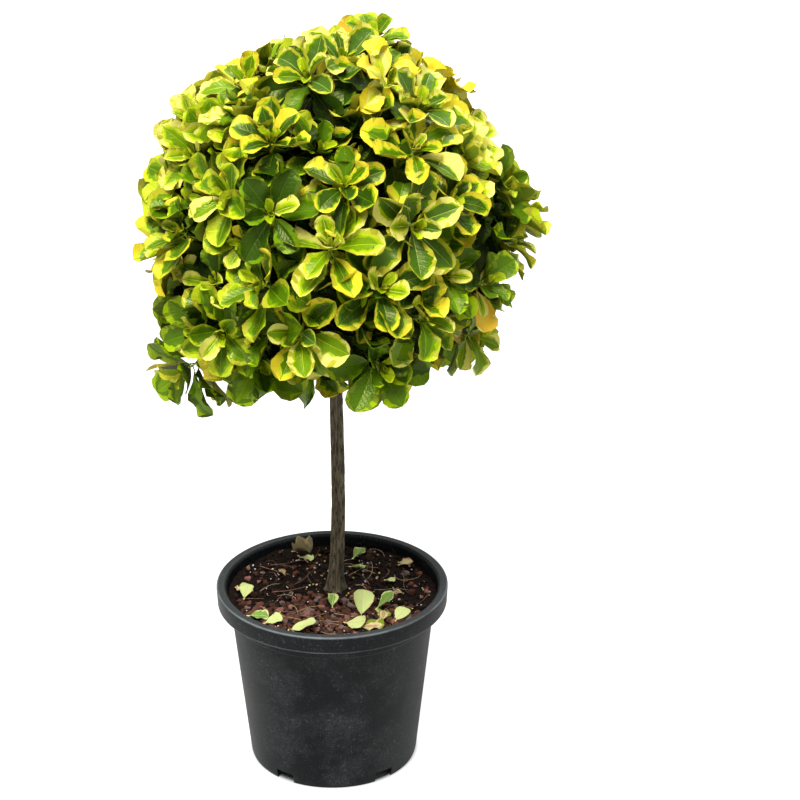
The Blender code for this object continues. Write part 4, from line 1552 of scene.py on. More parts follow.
TINTS = {
    "golden": tint("lime green fresh lime_edge gold pale_under gold_under", 0.48, 0.62, 0.74, 0.78),
    "lemony": tint("lime fresh lime lime_edge lemon pale_under gold_under", 0.44, 0.62, 0.80, 0.80),
    "bright": tint(
        "lime_edge fresh lime lime_edge lemon pale_under gold_under", 0.48, 0.66, 0.84, 0.84
    ),
    # Painted light: the backlit tint is lemon and gold all over, for leaves lit through from
    # behind.
    "backlit": tint("gold lime_edge lemon lemon gold lemon gold", 0.32, 0.52, 0.86, 0.60),
    "bold": tint("fresh deep green lime gold pale_under gold_under", 0.56, 0.70, 0.80, 0.86),
    # Painted sheen: this tint's bluish centre stands in for the sky's sheen on the leaf.
    "satin": tint("rib bluish green lime lemon pale_under gold_under", 0.56, 0.70, 0.84, 0.88),
    "limy": tint("lime green fresh lime lime_edge pale_under gold_under", 0.50, 0.72, 0.90, 0.90),
    "mild": tint("lime_edge fresh fresh lime lemon pale_under gold_under", 0.50, 0.74, 0.93, 0.92),
    "plain": tint("fresh green green fresh lime dull_under pale_under", 0.50, 0.78, 0.94, 0.95),
    "leafy": tint("lime fresh green fresh lime dull_under dull_under", 0.40, 0.70, 0.95, 0.95),
    "dark": tint("green deep deep green fresh dull_under dull_under", 0.46, 0.76, 0.94, 0.95),
    "young": tint("lemon fresh lime lime_edge lemon pale_under gold_under", 0.34, 0.56, 0.80, 0.82),
    "sprout": tint(
        "lime_edge lime lime lime_edge lime_edge pale_under gold_under", 0.30, 0.60, 0.80, 0.85
    ),
    "old": tint("lemon fresh lime lemon amber lime_edge lemon", 0.20, 0.40, 0.76, 0.56),
    # Painted shade: the inner tint's near-black colours stand for the shade deep in the head.
    "inner": tint("green shade shade deep deep shade shade", 0.50, 0.80, 0.95, 0.92),
    "fallen_pale": tint("cream faded faded faded faded cream cream", 0.40, 0.60, 0.90, 0.90),
    "fallen_green": tint(
        "faded soft_green soft_green soft_green faded faded faded", 0.50, 0.80, 0.95, 0.92
    ),
    "crumpled": tint("cream ash ash cream ash ash cream", 0.40, 0.60, 0.85, 0.85),
    "fallen_pink": tint("cream pink cream cream pale_under cream cream", 0.35, 0.55, 0.80, 0.80),
    "fallen_cream": tint("cream cream cream cream pink cream cream", 0.40, 0.60, 0.85, 0.85),
    "withered": tint("cream pink dead cream dead cream cream", 0.35, 0.55, 0.80, 0.80),
}
GOLDEN_TINTS = ("golden", "lemony", "bright", "backlit")
GREEN_TINTS = ("plain", "leafy", "dark")

# What a spray's tint is drawn from when it gets more than an amount of light; the golden tints up
# in the light are partly the plant's own colour and partly painted light.
SPRAY_TINTS = (
    (0.80, ("golden", "lemony", "lemony", "bright", "bright", "backlit")),
    (0.54, ("golden", "lemony", "lemony", "bright", "bright", "bold", "satin", "limy")),
    (0.40, ("bold", "satin", "limy", "limy", "mild", "bright", "golden")),
    (0.27, ("limy", "mild", "plain", "plain", "bold", "satin")),
    (-math.inf, ("plain", "plain", "leafy", "leafy", "dark")),
)

# Pairs of leaves down a shoot: distance below the tip, opening in degrees, and length.
LEAF_PAIRS = (
    (0.0002, 12, 0.015),
    (0.0010, 26, 0.024),
    (0.0024, 40, 0.036),
    (0.0045, 52, 0.046),
    (0.0076, 62, 0.052),
    (0.0120, 71, 0.054),
    (0.0185, 78, 0.052),
    (0.0290, 84, 0.049),
    (0.0420, 88, 0.046),
    (0.0570, 90, 0.044),
)
SIDE_PAIRS = 8
FINE_PAIRS = 7
PAIR_OF_OLD_LEAVES = 6
INNER_LEAVES = (7, 3)
INNER_BELOW_TIP = (0.050, 0.105)
INNER_LENGTHS = (0.044, 0.056)

# Rows of points along a leaf, by how finely it is made.
FINE_ROWS, COARSE_ROWS, PLAIN_ROWS, FALLEN_ROWS = 13, 8, 5, 12
LEAF_WIDTH_SHARE = 0.69
LEAF_POWERS = (0.98, 0.54)
PETIOLE_SHARE = 0.13
UNDER_REACH = 0.52
UNDER_DROP = 0.0010
UNDER_RIB_DROP = 0.0009
RIB_HALF_WIDTH = 0.00042
RIPPLE_BETWEEN_SIDES = 1.3

# How leaves vary, as the least and the most or as a spread.
VIGOUR, LENGTH_VARIES, WIDTH_VARIES = (0.84, 1.12), (0.88, 1.10), (0.90, 1.12)
TURN_ON_DEG = (14.0, 32.0)
SIDE_JITTER_DEG, OPENING_DEG, TWIST_DEG = 9.0, 6.0, 16.0
INNER_OPENING_DEG = (60.0, 95.0)
CUP, FOLD, CURL_DEG = (0.12, 0.58), (0.0, 0.22), (-58.0, 18.0)
CURLED_SHARE, CURLED_MORE_DEG = 0.10, 28.0
RIPPLE, RIPPLE_COUNT = (0.06, 0.26), (1.0, 2.8)
LOPSIDED, TEETH = 0.10, (0.03, 0.07)
BIAS_VARIES, SIDES_VARY = 0.13, 0.16
NARROW_SIDE_SHARE, NARROW_SIDE = 0.16, 0.45

# How much narrower, more folded and less curled the youngest leaves are.
YOUNG_NARROWER, YOUNG_FOLD, YOUNG_STRAIGHTER = 0.22, 0.25, 0.4

# How far older leaves sink, more so on hanging shoots, and how far every face turns up.
SINK, HANG, FACE_UP = 0.04, 0.35, 0.25
SINK_PAIRS = 6

# Painted shade and light in the tints: light that leaves lose on side shoots, inside the head and
# at its foot, and where they get it.
SHADED_SIDE_SHOOT = 0.22
SHADED_DEPTH = 0.20
SHADED_AT_FOOT = 0.08
SUN_FROM_ABOVE, SUN_FROM_SIDE, SUN_SPREAD = 0.50, 0.14, 0.11

# How far leaves past the head's outline stay out, and the height below which they lie anywhere.
KEPT_OUTSIDE = 0.85
FREE_BELOW = SOIL_TOP + 0.05

# Where shoots hang: how far below the head's centre it starts, and over what height it grows.
HANGING_FROM, HANGING_OVER = 0.10, 0.12


class LeafGrid:
    """The points and faces that every leaf of one fineness shares.

    Columns run from the midrib's edge to the rim on both sides. The underside has fewer points.
    """

    COLUMNS = 5

    def __init__(self, stations):
        self.stations = stations
        self.points, self.triangles, self.zones = [], [], []
        self.index = {}
        base, tip = self.add_point("base", 0, 0, 0, 0), self.add_point("tip", stations, 0, 0, 0)
        for row in range(1, stations):
            for side in (-1, 1):
                for column in range(self.COLUMNS):
                    self.add_point((row, side, column), row, column, side, 0)
        self.add_upper(base, tip)
        self.add_underside(base, tip)
        self.add_petiole()

    def add_point(self, key, row, column, side, under, petiole=-1):
        self.index[key] = len(self.points)
        self.points.append((row, column, side, under, petiole))
        return self.index[key]

    def add_face(self, corners, zone, flip):
        """A face of three or more corners as triangles, turned over where asked."""
        corners = corners[::-1] if flip else corners
        for second, third in zip(corners[1:], corners[2:]):
            self.triangles.append((corners[0], second, third))
            self.zones.append(zone)

    def add_upper(self, base, tip):
        at, last = self.index, self.stations - 1
        for side in (-1, 1):
            flip = side < 0
            for column in range(self.COLUMNS - 1):
                zone = column + 1
                self.add_face([base, at[1, side, column + 1], at[1, side, column]], zone, flip)
                self.add_face([tip, at[last, side, column], at[last, side, column + 1]], zone, flip)
                for row in range(1, last):
                    inner, outer = (row, side, column), (row, side, column + 1)
                    inner_next, outer_next = (row + 1, side, column), (row + 1, side, column + 1)
                    self.add_face(
                        [at[inner], at[outer], at[outer_next], at[inner_next]], zone, flip
                    )
        self.add_face([base, at[1, 1, 0], at[1, -1, 0]], 0, False)
        self.add_face([tip, at[last, -1, 0], at[last, 1, 0]], 0, False)
        for row in range(1, last):
            self.add_face(
                [at[row, -1, 0], at[row, 1, 0], at[row + 1, 1, 0], at[row + 1, -1, 0]], 0, False
            )

    def add_underside(self, base, tip):
        rows = list(range(2, self.stations - 1, 2))
        for row in rows:
            self.add_point((row, "under"), row, 0, 0, 1)
            for side in (-1, 1):
                self.add_point((row, side, "under"), row, 2, side, 1)
        at, rim = self.index, self.COLUMNS - 1
        for side in (-1, 1):
            flip = side > 0
            for row, following in zip(rows, rows[1:]):
                edge = [at[number, side, rim] for number in range(row, following + 1)]
                half, half_next = at[row, side, "under"], at[following, side, "under"]
                self.add_face([half, *edge, half_next], 6, flip)
                self.add_face([at[row, "under"], half, half_next, at[following, "under"]], 5, flip)
            first, final = rows[0], rows[-1]
            edge = [at[number, side, rim] for number in range(1, first + 1)]
            self.add_face([at[first, side, "under"], base, *edge], 6, flip)
            self.add_face([base, at[first, side, "under"], at[first, "under"]], 5, flip)
            edge = [at[number, side, rim] for number in range(final, self.stations)]
            self.add_face([at[final, side, "under"], *edge, tip], 6, flip)
            self.add_face([tip, at[final, "under"], at[final, side, "under"]], 5, flip)

    def add_petiole(self):
        """A three-sided stalk from the twig to just under the blade."""
        low, high = (
            [self.add_point(("stalk", end, turn), 0, 0, end, 0, turn) for turn in range(3)]
            for end in (0, 1)
        )
        for turn in range(3):
            following = (turn + 1) % 3
            self.add_face([low[turn], low[following], high[following], high[turn]], 0, False)
        self.add_face(low[::-1], 0, False)
        self.add_face(high, 0, False)


class LeafBatch:
    """Leaves of one fineness, whose points are worked out together."""

    def __init__(self, stations):
        self.grid = LeafGrid(stations)
        self.leaves = []

    def add(self, root, heading, face, look, mass_number, seed, form):
        """A leaf from its root along heading, whose upper side faces as given."""
        self.leaves.append((root, heading, face, look, mass_number, seed, form))

    def gather(self, pieces):
        """Adds every leaf to the piece of its mass."""
        points, triangles, colours, place = self.shape()
        for number, leaf in enumerate(self.leaves):
            pieces[leaf[4]].add(points[number], triangles, colours[number], place)

    def shape(self):
        """All leaves' points, their triangles' colours and the points' places on the blade."""
        row, column, side, under, petiole = np.array(self.grid.points).T
        roots, headings, faces, looks, _, seeds, forms = zip(*self.leaves)
        count, rows = len(self.leaves), self.grid.stations
        value = {name: np.array([form[name] for form in forms])[:, None] for name in forms[0]}
        root, heading, face = (np.array(each, np.float64) for each in (roots, headings, faces))
        face -= heading * (face * heading).sum(1, keepdims=True)
        face /= np.linalg.norm(face, axis=1, keepdims=True)
        across = np.cross(heading, face)
        share = np.linspace(0.0, 1.0, rows + 1)
        share = 0.30 * share + 0.70 * (1.0 - np.cos(math.pi * share)) / 2

        # The midrib's line, which curls towards the face or away from it.
        angle = value["curl"] * (share - 0.25)[None, :] * np.where(share > 0.2, 1.0, 0.5)[None, :]
        cos_angle, sin_angle = np.cos(angle)[..., None], np.sin(angle)[..., None]
        along = cos_angle * heading[:, None] + sin_angle * face[:, None]
        normal = -sin_angle * heading[:, None] + cos_angle * face[:, None]
        steps = np.diff(share)[None, :, None] * (along[:, 1:] + along[:, :-1]) / 2
        line = np.concatenate([np.zeros((count, 1, 3)), np.cumsum(steps, axis=1)], axis=1)
        line = line * value["length"][..., None]
        line += (root + heading * value["length"] * PETIOLE_SHARE)[:, None]

        # Half-widths, with fine teeth on the rim, and the reach of each colour across the blade.
        shape = share ** LEAF_POWERS[0] * (1.0 - share) ** LEAF_POWERS[1]
        half = value["width"] / 2 * (shape / shape.max())[None, :]
        reach = colour_reaches(looks, seeds, share, half)
        twist = value["twist"] * share[None, :]
        cos_twist, sin_twist = np.cos(twist)[..., None], np.sin(twist)[..., None]
        sideways = across[:, None] * cos_twist + normal * sin_twist
        normal = normal * cos_twist - across[:, None] * sin_twist

        picked = reach[:, row, np.where(side > 0, 1, 0), column]
        picked = np.where(under > 0, np.where(side == 0, 0.0, UNDER_REACH), picked)
        tooth = np.where((column == LeafGrid.COLUMNS - 1) & (row % 2 == 1), 1.0, 0.0)
        width = half[:, row] * (1.0 - tooth * value["teeth"]) * (1.0 + side * value["lopsided"])
        out = picked * np.abs(side)
        forward = 0.10 * out * (1.0 - share[row]) * share[row] * 4.0 * 0.5
        phase = value["phase"] + side * RIPPLE_BETWEEN_SIDES
        ripple = np.sin(value["waves"] * math.tau * share[row] + phase)
        slope = value["cup"] * out + value["fold"]
        lift = width * (
            value["cup"] * out**2 + value["fold"] * out + value["wave"] * ripple * out**2
        )
        lift -= under * np.where(side == 0, UNDER_RIB_DROP, UNDER_DROP)
        flat = width * out * (1.0 - 0.30 * np.clip(slope, 0.0, 1.2) ** 2)
        points = line[:, row] + along[:, row] * (forward * value["length"])[..., None]
        points += sideways[:, row] * (flat * side)[..., None] + normal[:, row] * lift[..., None]

        # The stalk, whose lower end is on the twig and whose upper end is under the blade.
        for index in np.flatnonzero(petiole >= 0):
            turn = petiole[index] * math.tau / 3
            ring = across * math.cos(turn) + face * math.sin(turn)
            if side[index] == 0:
                points[:, index] = root + ring * 0.0010
            else:
                points[:, index] = line[:, 0] + heading * 0.0022 - face * 0.0007 + ring * 0.0006
        points = pressed_inside(points.reshape(-1, 3)).reshape(count, -1, 3)
        colours = np.array([TINTS[look].colours for look in looks])[:, self.grid.zones]
        aside = np.where(under > 0, 0.5, picked.mean(0))
        place = np.stack([share[row], 0.5 + 0.5 * side * aside], axis=1)
        return points, self.grid.triangles, colours, place


def colour_reaches(looks, seeds, share, half):
    """How far each column is across the blade: ragged, and drawn in before the tip."""
    count, rows = len(looks), len(share)
    reach = np.zeros((count, rows, 2, LeafGrid.COLUMNS))
    for leaf, (look, seed) in enumerate(zip(looks, seeds)):
        rng = np.random.default_rng(seed)
        bias = 1.0 + rng.normal(0.0, BIAS_VARIES)
        sides = 1.0 + rng.normal(0.0, SIDES_VARY, 2)
        if rng.random() < NARROW_SIDE_SHARE:
            sides[rng.integers(2)] *= NARROW_SIDE
        wild = rng.normal(0.0, 1.0, (3, rows, 2))
        feather = np.where((np.arange(rows) + rng.integers(2)) % 2 == 0, 0.10, -0.10)[:, None]
        for band in range(3):
            runs = min(0.985, TINTS[look].runs * (1.0 + 0.07 * band))
            faded = np.sqrt(np.clip(1.0 - (share / runs) ** 3.6, 0.0, 1.0))
            ragged = 1.0 + feather + (0.15 - 0.03 * band) * wild[band]
            width = TINTS[look].reaches[band] * bias * sides[None, :] * ragged
            reach[leaf, :, :, band + 1] = np.clip(width, 0.05, 0.97) * faded[:, None]
    rib = np.clip(RIB_HALF_WIDTH / np.maximum(half, 1e-4), 0.0, 0.3)[..., None]
    reach[..., 0] = rib * (1.0 - share * 0.7)[None, :, None]
    for band in range(1, 4):
        reach[..., band] = np.maximum(reach[..., band], reach[..., band - 1] + 0.012)
    reach[..., 4] = 1.0
    return np.minimum(reach, 1.0)


def pressed_inside(points):
    """Points past the head's outline drawn back a little towards it."""
    away = points - np.array(HEAD_CENTRE)
    scale = outline_scale(away)
    drawn_back = (1.0 + (scale - 1.0) * KEPT_OUTSIDE) / np.maximum(scale, 1e-6)
    kept = np.where(scale > 1.0, drawn_back, 1.0)
    in_head = points[:, 2] > FREE_BELOW
    return np.where(in_head[:, None], np.array(HEAD_CENTRE) + away * kept[:, None], points)


def spray_tint(rng, place, order):
    """The tint of a spray: golden up in the light, lime lower down and plain green at the foot,
    partly painted light and shade.
    """
    away = place - HEAD_CENTRE
    sun = 0.5 + SUN_FROM_ABOVE * away.z / HEAD_RADII.z + SUN_FROM_SIDE * away.x / HEAD_RADII.x
    sun += rng.gauss(0.0, SUN_SPREAD) - SHADED_SIDE_SHOOT * order
    # Painted light: sprays high on the right take the backlit tint.
    if order == 0 and away.z > 0.10 and away.x > 0.07 and rng.random() < 0.6:
        return "backlit"
    return rng.choice(next(tints for least, tints in SPRAY_TINTS if sun > least))


def depth_inside(place):
    """How far inside the head's outline a place lies, as a share of the head's reach there."""
    return 1.0 - float(outline_scale(np.array([place - HEAD_CENTRE]))[0])


def leaf_tint(rng, spray, pair, depth):
    """One leaf's tint: young at the tip, then mostly the spray's own, and dark deep inside and on
    the lowest pairs, as painted shade.
    """
    luck = rng.random()
    if pair <= 1:
        return "young" if spray in GOLDEN_TINTS and luck < 0.6 else "sprout"
    if pair == 2 and luck < 0.4:
        return "young"
    if pair >= 4 and luck < 0.014:
        return "old"
    if depth > SHADED_DEPTH:
        return rng.choice(("inner", "inner", "dark"))
    if pair >= 7 or depth > SHADED_DEPTH * 0.6:
        return rng.choice(("dark", "plain", "bold", spray))
    if luck > 0.88:
        return "limy" if spray in GREEN_TINTS else rng.choice(("golden", "limy", "mild", "satin"))
    return spray


def twig_node(twig, below):
    """A place on a twig the given distance below its tip, and the twig's direction there."""
    for upper, lower in zip(twig.path[::-1], twig.path[-2::-1]):
        step = (upper - lower).length
        if below <= step:
            return upper.lerp(lower, below / step), (upper - lower).normalized()
        below -= step
    return None, None


def leaf_form(rng, pair, length):
    """How one leaf is bent: young ones stand cupped, and older ones arch and ripple."""
    length *= settings("leaf").size
    young = max(0.0, 1.0 - pair / 3.0)
    width = length * LEAF_WIDTH_SHARE * rng.uniform(*WIDTH_VARIES) * (1.0 - YOUNG_NARROWER * young)
    cup, fold = rng.uniform(*CUP), rng.uniform(*FOLD) + YOUNG_FOLD * young
    curl_deg = rng.uniform(*CURL_DEG) - (CURLED_MORE_DEG if rng.random() < CURLED_SHARE else 0.0)
    return {
        "length": length,
        "width": width,
        "cup": cup,
        "fold": fold,
        "curl": math.radians(curl_deg) * (1.0 - YOUNG_STRAIGHTER * young),
        "wave": rng.uniform(*RIPPLE),
        "waves": rng.uniform(*RIPPLE_COUNT),
        "phase": rng.uniform(0.0, math.tau),
        "twist": math.radians(rng.gauss(0.0, TWIST_DEG)),
        "lopsided": rng.uniform(-LOPSIDED, LOPSIDED),
        "teeth": rng.uniform(*TEETH),
    }


def opened_out(axis, outward, opening):
    """The heading and the upper side of a leaf that opens outwards from its twig's axis."""
    heading = axis * math.cos(opening) + outward * math.sin(opening)
    return heading, axis * math.sin(opening) - outward * math.cos(opening)


def plan_leaves(masses, twigs, batches):
    """Crossed pairs of leaves on each twig, the upper ones finely made."""
    fine, coarse = batches
    for twig in twigs:
        rng = draws("leaves", twig.number)
        spray = twig.tint or spray_tint(rng, twig.path[-1], twig.order)
        mass_number = masses.index(twig.mass)
        hanging = max(0.0, (HEAD_CENTRE.z - HANGING_FROM - twig.path[-1].z) / HANGING_OVER)
        pairs = LEAF_PAIRS if twig.order == 0 else LEAF_PAIRS[:SIDE_PAIRS]
        vigour = rng.uniform(*VIGOUR)
        step = math.pi / 2 + math.radians(rng.uniform(*TURN_ON_DEG))
        for pair, (below, spread, length) in enumerate(pairs):
            place, axis = twig_node(twig, below * vigour)
            if place is None:
                continue
            side = axis.orthogonal().normalized()
            turn = twig.side + pair * step
            for half_turn in (0.0, math.pi):
                jitter = math.radians(rng.gauss(0.0, SIDE_JITTER_DEG))
                outward = Matrix.Rotation(turn + half_turn + jitter, 3, axis) @ side
                opening_deg = spread * twig.openness + rng.gauss(0.0, OPENING_DEG)
                heading, face = opened_out(axis, outward, math.radians(opening_deg))
                heading -= UP * (SINK * pair / SINK_PAIRS + HANG * hanging * pair / SINK_PAIRS)
                heading, face = heading.normalized(), (face + UP * FACE_UP).normalized()
                # Painted shade: leaves low in the head count as deeper inside, so they take darker
                # tints.
                low_down = min(1.0, max(0.0, (HEAD_CENTRE.z - place.z) / HEAD_RADII.z))
                depth = depth_inside(place + heading * length) + SHADED_AT_FOOT * low_down
                look = leaf_tint(rng, spray, pair, depth)
                form = leaf_form(rng, pair, length * vigour * rng.uniform(*LENGTH_VARIES))
                batch = fine if pair < FINE_PAIRS else coarse
                batch.add(place, heading, face, look, mass_number, rng.randrange(1 << 30), form)


def plan_inner_leaves(masses, twigs, batch):
    """Older, darker leaves down inside the head, which close it against the light; their near-black
    tint is painted shade.
    """
    for twig in twigs:
        rng = draws("inner_leaves", twig.number)
        mass_number = masses.index(twig.mass)
        for _ in range(INNER_LEAVES[twig.order]):
            place, axis = twig_node(twig, rng.uniform(*INNER_BELOW_TIP))
            if place is None:
                continue
            turn = Matrix.Rotation(rng.uniform(0.0, math.tau), 3, axis)
            outward = turn @ axis.orthogonal().normalized()
            opening = math.radians(rng.uniform(*INNER_OPENING_DEG))
            heading, face = opened_out(axis, outward, opening)
            form = leaf_form(rng, PAIR_OF_OLD_LEAVES, rng.uniform(*INNER_LENGTHS))
            batch.add(place, heading, face, "inner", mass_number, rng.randrange(1 << 30), form)


def leaf_materials():
    """One material for each of the leaf's colours. Undersides and dead leaves are dull."""
    gloss = settings("leaf").gloss
    return [
        leaf_material(f"leaf_{name}", colour, gloss + DULLER.get(name, 0.0))
        for name, colour in LEAF_COLOURS.items()
    ]


def make_leaves():
    """The leaves of each mass, joined."""
    masses = head_masses()
    twigs = plan_twigs(masses)
    fine, coarse, plain = (LeafBatch(rows) for rows in (FINE_ROWS, COARSE_ROWS, PLAIN_ROWS))
    plan_leaves(masses, twigs, (fine, coarse))
    plan_inner_leaves(masses, twigs, plain)
    materials = leaf_materials()
    pieces = [Gathered() for _ in masses]
    for batch in (fine, coarse, plain):
        batch.gather(pieces)
    for mass, piece in zip(masses, pieces):
        obj = piece.to_object(f"leaves_{mass.label}", materials)
        settle(obj, [f"foliage_{mass.label}"])


# Leaves that lie on the soil: place, heading and rise in degrees, length and tint.
FALLEN = (
    (0.0360, -0.0560, 172, 48, 0.034, "fallen_pale"),
    (0.0640, -0.0520, 120, 34, 0.030, "fallen_green"),
    (0.0600, -0.0740, 170, 8, 0.024, "fallen_pink"),
    (0.0800, -0.0790, 150, 12, 0.026, "fallen_pale"),
    (0.0260, -0.0930, 60, 14, 0.030, "fallen_pale"),
    (0.0450, -0.1010, 80, 10, 0.032, "fallen_pink"),
    (-0.0358, -0.1010, 95, 16, 0.034, "fallen_pale"),
    (-0.0890, -0.0720, 85, 4, 0.026, "fallen_green"),
    (-0.0709, -0.0880, 110, 14, 0.024, "fallen_pale"),
    (-0.1030, -0.0140, 160, 40, 0.022, "fallen_pale"),
    (-0.1120, 0.0030, 20, 10, 0.018, "fallen_cream"),
    (-0.0378, 0.0900, 60, 28, 0.028, "crumpled"),
    (-0.0317, 0.0800, 75, 4, 0.018, "fallen_pale"),
    (0.0319, 0.0850, 140, 20, 0.022, "fallen_green"),
    (0.0304, 0.0540, 70, 10, 0.020, "fallen_green"),
    (0.0900, 0.0640, 120, 6, 0.020, "fallen_cream"),
    (0.0700, 0.0210, 80, 12, 0.014, "fallen_pale"),
    (0.0010, -0.0400, 170, 44, 0.018, "fallen_green"),
    (-0.0600, 0.0460, 200, 4, 0.014, "withered"),
    (0.0800, -0.0080, 250, 4, 0.014, "withered"),
)


def make_fallen_leaves():
    """Shed leaves that lie curled on the soil."""
    rng = draws("fallen_leaves")
    batch = LeafBatch(FALLEN_ROWS)
    for x, y, turn, rise, length, look in FALLEN:
        heading = direction(turn, rise)
        root = Vector((x, y, soil_height(x, y) + 0.0045)) - direction(turn) * length / 2
        lean = direction(rng.uniform(0.0, 360.0)) * 0.2
        face = (direction(turn, rise + 90.0) + lean).normalized()
        form = leaf_form(rng, PAIR_OF_OLD_LEAVES, length * 0.9)
        form["cup"] = rng.uniform(0.05, 0.25)
        form["curl"] = math.radians(rng.uniform(-30.0, 12.0))
        form["fold"] = 0.05
        form["width"] = length * rng.uniform(0.70, 0.84)
        if look == "crumpled":
            form.update(cup=1.1, fold=0.5, wave=0.45, waves=2.5, curl=math.radians(-80.0))
        batch.add(root, heading, face, look, 0, rng.randrange(1 << 30), form)
    piece = Gathered()
    batch.gather([piece])
    settle(piece.to_object("fallen_leaves", leaf_materials()), [])


# ------------------------ stage

FLOOR_HALF = 40.0
FLOOR_GLOW_AROUND = 0.26
CAMERA_PLACE = (0.0, -2.918, 1.764)
CAMERA_DOWN_DEG = 23.94
CAMERA_TURN_DEG = -1.61
CAMERA_LENS = 122.35
CAMERA_SENSOR = 36.0

# The lights: strength's setting, spread, azimuth and elevation in degrees, and colour.
SOFT_SUNS = {
    "key_light": ("key", 34.0, -28.0, 64.0, (1.0, 0.985, 0.95)),
    "fill_light": ("fill", 50.0, 55.0, 25.0, (0.96, 0.98, 1.0)),
    "back_light": ("back", 34.0, 150.0, 52.0, (1.0, 0.99, 0.92)),
}


def floor_material():
    """A pale matt floor that gives off light, apart from the part under the pot, left dark as a
    painted shadow.
    """
    stage = settings("stage")
    made, tree, shader = new_material("pale_floor")
    shader.inputs["Base Color"].default_value = opaque(stage.floor)
    shader.inputs["Specular IOR Level"].default_value = 0.2
    shader.inputs["Emission Color"].default_value = (1.0, 1.0, 1.0, 1.0)
    spot = spot_on_object(tree)
    rough = between(tree, cloudy(tree, spot, 3.0), 0.3, 0.7, 0.80, 0.95)
    tree.links.new(rough, shader.inputs["Roughness"])
    x, y, _ = axes(tree, spot)
    # No glow under the pot's foot: a painted shadow, seen through the foot's slots.
    edge = POT_BASE_RADIUS - 0.006, POT_BASE_RADIUS + 0.004
    glow = between(tree, from_axis(tree, x, y), *edge, 0.0, stage.glow)
    seen = node(tree, "ShaderNodeLightPath").outputs["Is Camera Ray"]
    kept = between(tree, seen, 0.0, 1.0, FLOOR_GLOW_AROUND, 1.0)
    tree.links.new(times(tree, glow, kept), shader.inputs["Emission Strength"])
    return made


def make_floor():
    half = FLOOR_HALF
    corners = [(-half, -half, 0), (half, -half, 0), (half, half, 0), (-half, half, 0)]
    mesh = bpy.data.meshes.new("floor")
    mesh.from_pydata(corners, [], [(0, 1, 2, 3)])
    mesh.materials.append(floor_material())
    add_object("floor", mesh)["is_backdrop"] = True


def make_lights():
    """Even light all round, and suns as soft as they are wide."""
    stage = settings("stage")
    world = bpy.data.worlds.new("even_surround")
    world.use_nodes = True
    background = world.node_tree.nodes["Background"]
    background.inputs["Color"].default_value = (1.0, 1.0, 1.0, 1.0)
    background.inputs["Strength"].default_value = stage.sky
    bpy.context.scene.world = world
    for name, (strength, spread_deg, azimuth, elevation, colour) in SOFT_SUNS.items():
        light = bpy.data.lights.new(name, "SUN")
        light.energy = getattr(stage, strength)
        light.angle = math.radians(spread_deg)
        light.color = colour
        obj = add_object(name, light)
        aim = -direction(azimuth, elevation)
        obj.rotation_euler = aim.to_track_quat("-Z", "Y").to_euler()


def make_camera():
    camera = bpy.data.cameras.new("camera")
    camera.lens = CAMERA_LENS
    camera.sensor_width = CAMERA_SENSOR
    obj = add_object("camera", camera)
    obj.location = CAMERA_PLACE
    tilt, turn = math.radians(90.0 - CAMERA_DOWN_DEG), math.radians(CAMERA_TURN_DEG)
    obj.rotation_euler = (tilt, 0.0, turn)
    bpy.context.scene.camera = obj
    bpy.context.scene.view_settings.view_transform = "Standard"


def make_stage():
    make_floor()
    make_lights()
    make_camera()


# ------------------------ operators and panel


class SpindleOperator:
    """What all the steps share: each can be undone."""

    bl_options = {"REGISTER", "UNDO"}


class SPINDLE_OT_stage(SpindleOperator, bpy.types.Operator):
    """Adds the camera, the floor and the soft lights"""

    bl_idname = "spindle.stage"
    bl_label = "Stage"

    def execute(self, context):
        make_stage()
        return {"FINISHED"}


class SPINDLE_OT_pot(SpindleOperator, bpy.types.Operator):
    """Makes the moulded nursery pot"""

    bl_idname = "spindle.pot"
    bl_label = "Nursery pot"

    def execute(self, context):
        make_pot()
        return {"FINISHED"}


class SPINDLE_OT_soil(SpindleOperator, bpy.types.Operator):
    """Fills the pot with crumbly soil"""

    bl_idname = "spindle.soil"
    bl_label = "Soil"

    def execute(self, context):
        make_soil()
        return {"FINISHED"}


class SPINDLE_OT_litter(SpindleOperator, bpy.types.Operator):
    """Scatters granules, specks and straws on the soil"""

    bl_idname = "spindle.litter"
    bl_label = "Granules, specks and straws"

    def execute(self, context):
        make_crumbs()
        make_granules()
        make_specks()
        make_straws()
        return {"FINISHED"}


class SPINDLE_OT_fallen_leaves(SpindleOperator, bpy.types.Operator):
    """Lays the shed leaves on the soil"""

    bl_idname = "spindle.fallen_leaves"
    bl_label = "Fallen leaves"

    def execute(self, context):
        make_fallen_leaves()
        return {"FINISHED"}


class SPINDLE_OT_limbs(SpindleOperator, bpy.types.Operator):
    """Makes the trunk and the boughs with the relief of their bark"""

    bl_idname = "spindle.limbs"
    bl_label = "Trunk and boughs"

    def execute(self, context):
        make_limbs()
        return {"FINISHED"}


class SPINDLE_OT_twigs(SpindleOperator, bpy.types.Operator):
    """Grows the twigs of every mass of foliage out of its bough"""

    bl_idname = "spindle.twigs"
    bl_label = "Twigs"

    def execute(self, context):
        make_twigs()
        return {"FINISHED"}


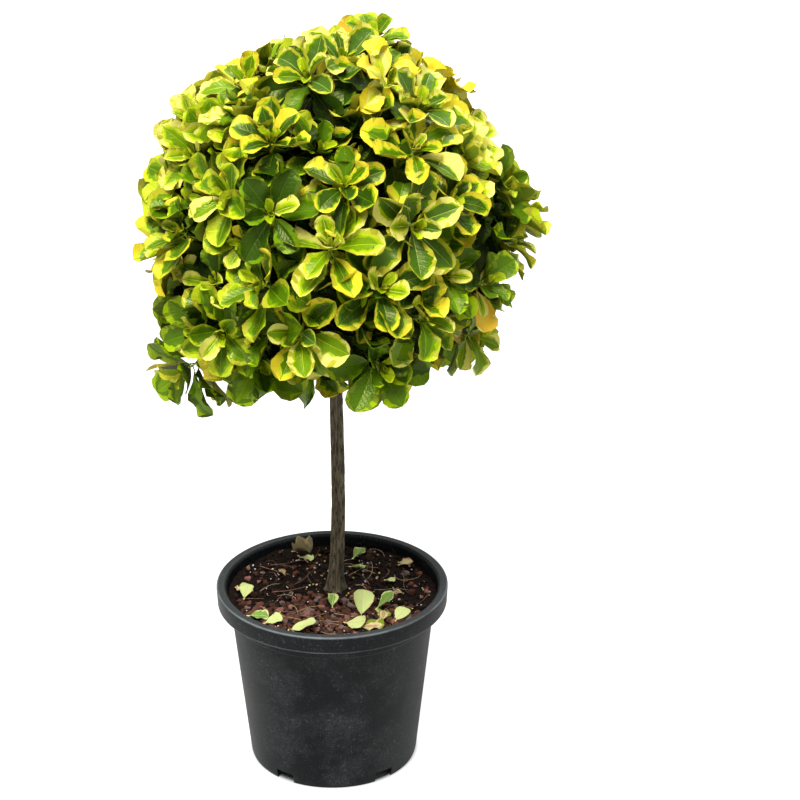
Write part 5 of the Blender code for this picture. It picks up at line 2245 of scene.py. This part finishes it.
class SPINDLE_OT_leaves(SpindleOperator, bpy.types.Operator):
    """Grows crossed pairs of variegated leaves on every twig"""

    bl_idname = "spindle.leaves"
    bl_label = "Leaves"

    def execute(self, context):
        make_leaves()
        return {"FINISHED"}


OPERATORS = (
    SPINDLE_OT_stage,
    SPINDLE_OT_pot,
    SPINDLE_OT_soil,
    SPINDLE_OT_litter,
    SPINDLE_OT_fallen_leaves,
    SPINDLE_OT_limbs,
    SPINDLE_OT_twigs,
    SPINDLE_OT_leaves,
)
SETTINGS = {
    "pot": PotSettings,
    "soil": SoilSettings,
    "limbs": LimbSettings,
    "leaf": LeafSettings,
    "stage": StageSettings,
}


class SPINDLE_PT_panel(bpy.types.Panel):
    """Sizes and colours of the plant, and the steps that build it"""

    bl_idname = "SPINDLE_PT_panel"
    bl_label = "Standard Spindle"
    bl_space_type = "VIEW_3D"
    bl_region_type = "UI"
    bl_category = "Spindle"

    def draw(self, context):
        for name, group in SETTINGS.items():
            box = self.layout.box()
            box.label(text=name.title())
            for prop in group.__annotations__:
                box.prop(getattr(context.scene, f"spindle_{name}"), prop)
        for operator in OPERATORS:
            self.layout.operator(operator.bl_idname)


def register():
    for group in SETTINGS.values():
        bpy.utils.register_class(group)
    for name, group in SETTINGS.items():
        setattr(bpy.types.Scene, f"spindle_{name}", PointerProperty(type=group))
    for operator in (*OPERATORS, SPINDLE_PT_panel):
        bpy.utils.register_class(operator)


def unregister():
    for operator in (SPINDLE_PT_panel, *reversed(OPERATORS)):
        bpy.utils.unregister_class(operator)
    for name in SETTINGS:
        delattr(bpy.types.Scene, f"spindle_{name}")
    for group in reversed(SETTINGS.values()):
        bpy.utils.unregister_class(group)


def main():
    register()
    for operator in OPERATORS:
        category, name = operator.bl_idname.split(".")
        getattr(getattr(bpy.ops, category), name)()
    bpy.context.view_layer.update()
    boxes = {"cad": CAD_BOX, "visual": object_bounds()}
    sizes = {name: [list(corner) for corner in box] for name, box in boxes.items()}


if __name__ == "__main__":
    main()
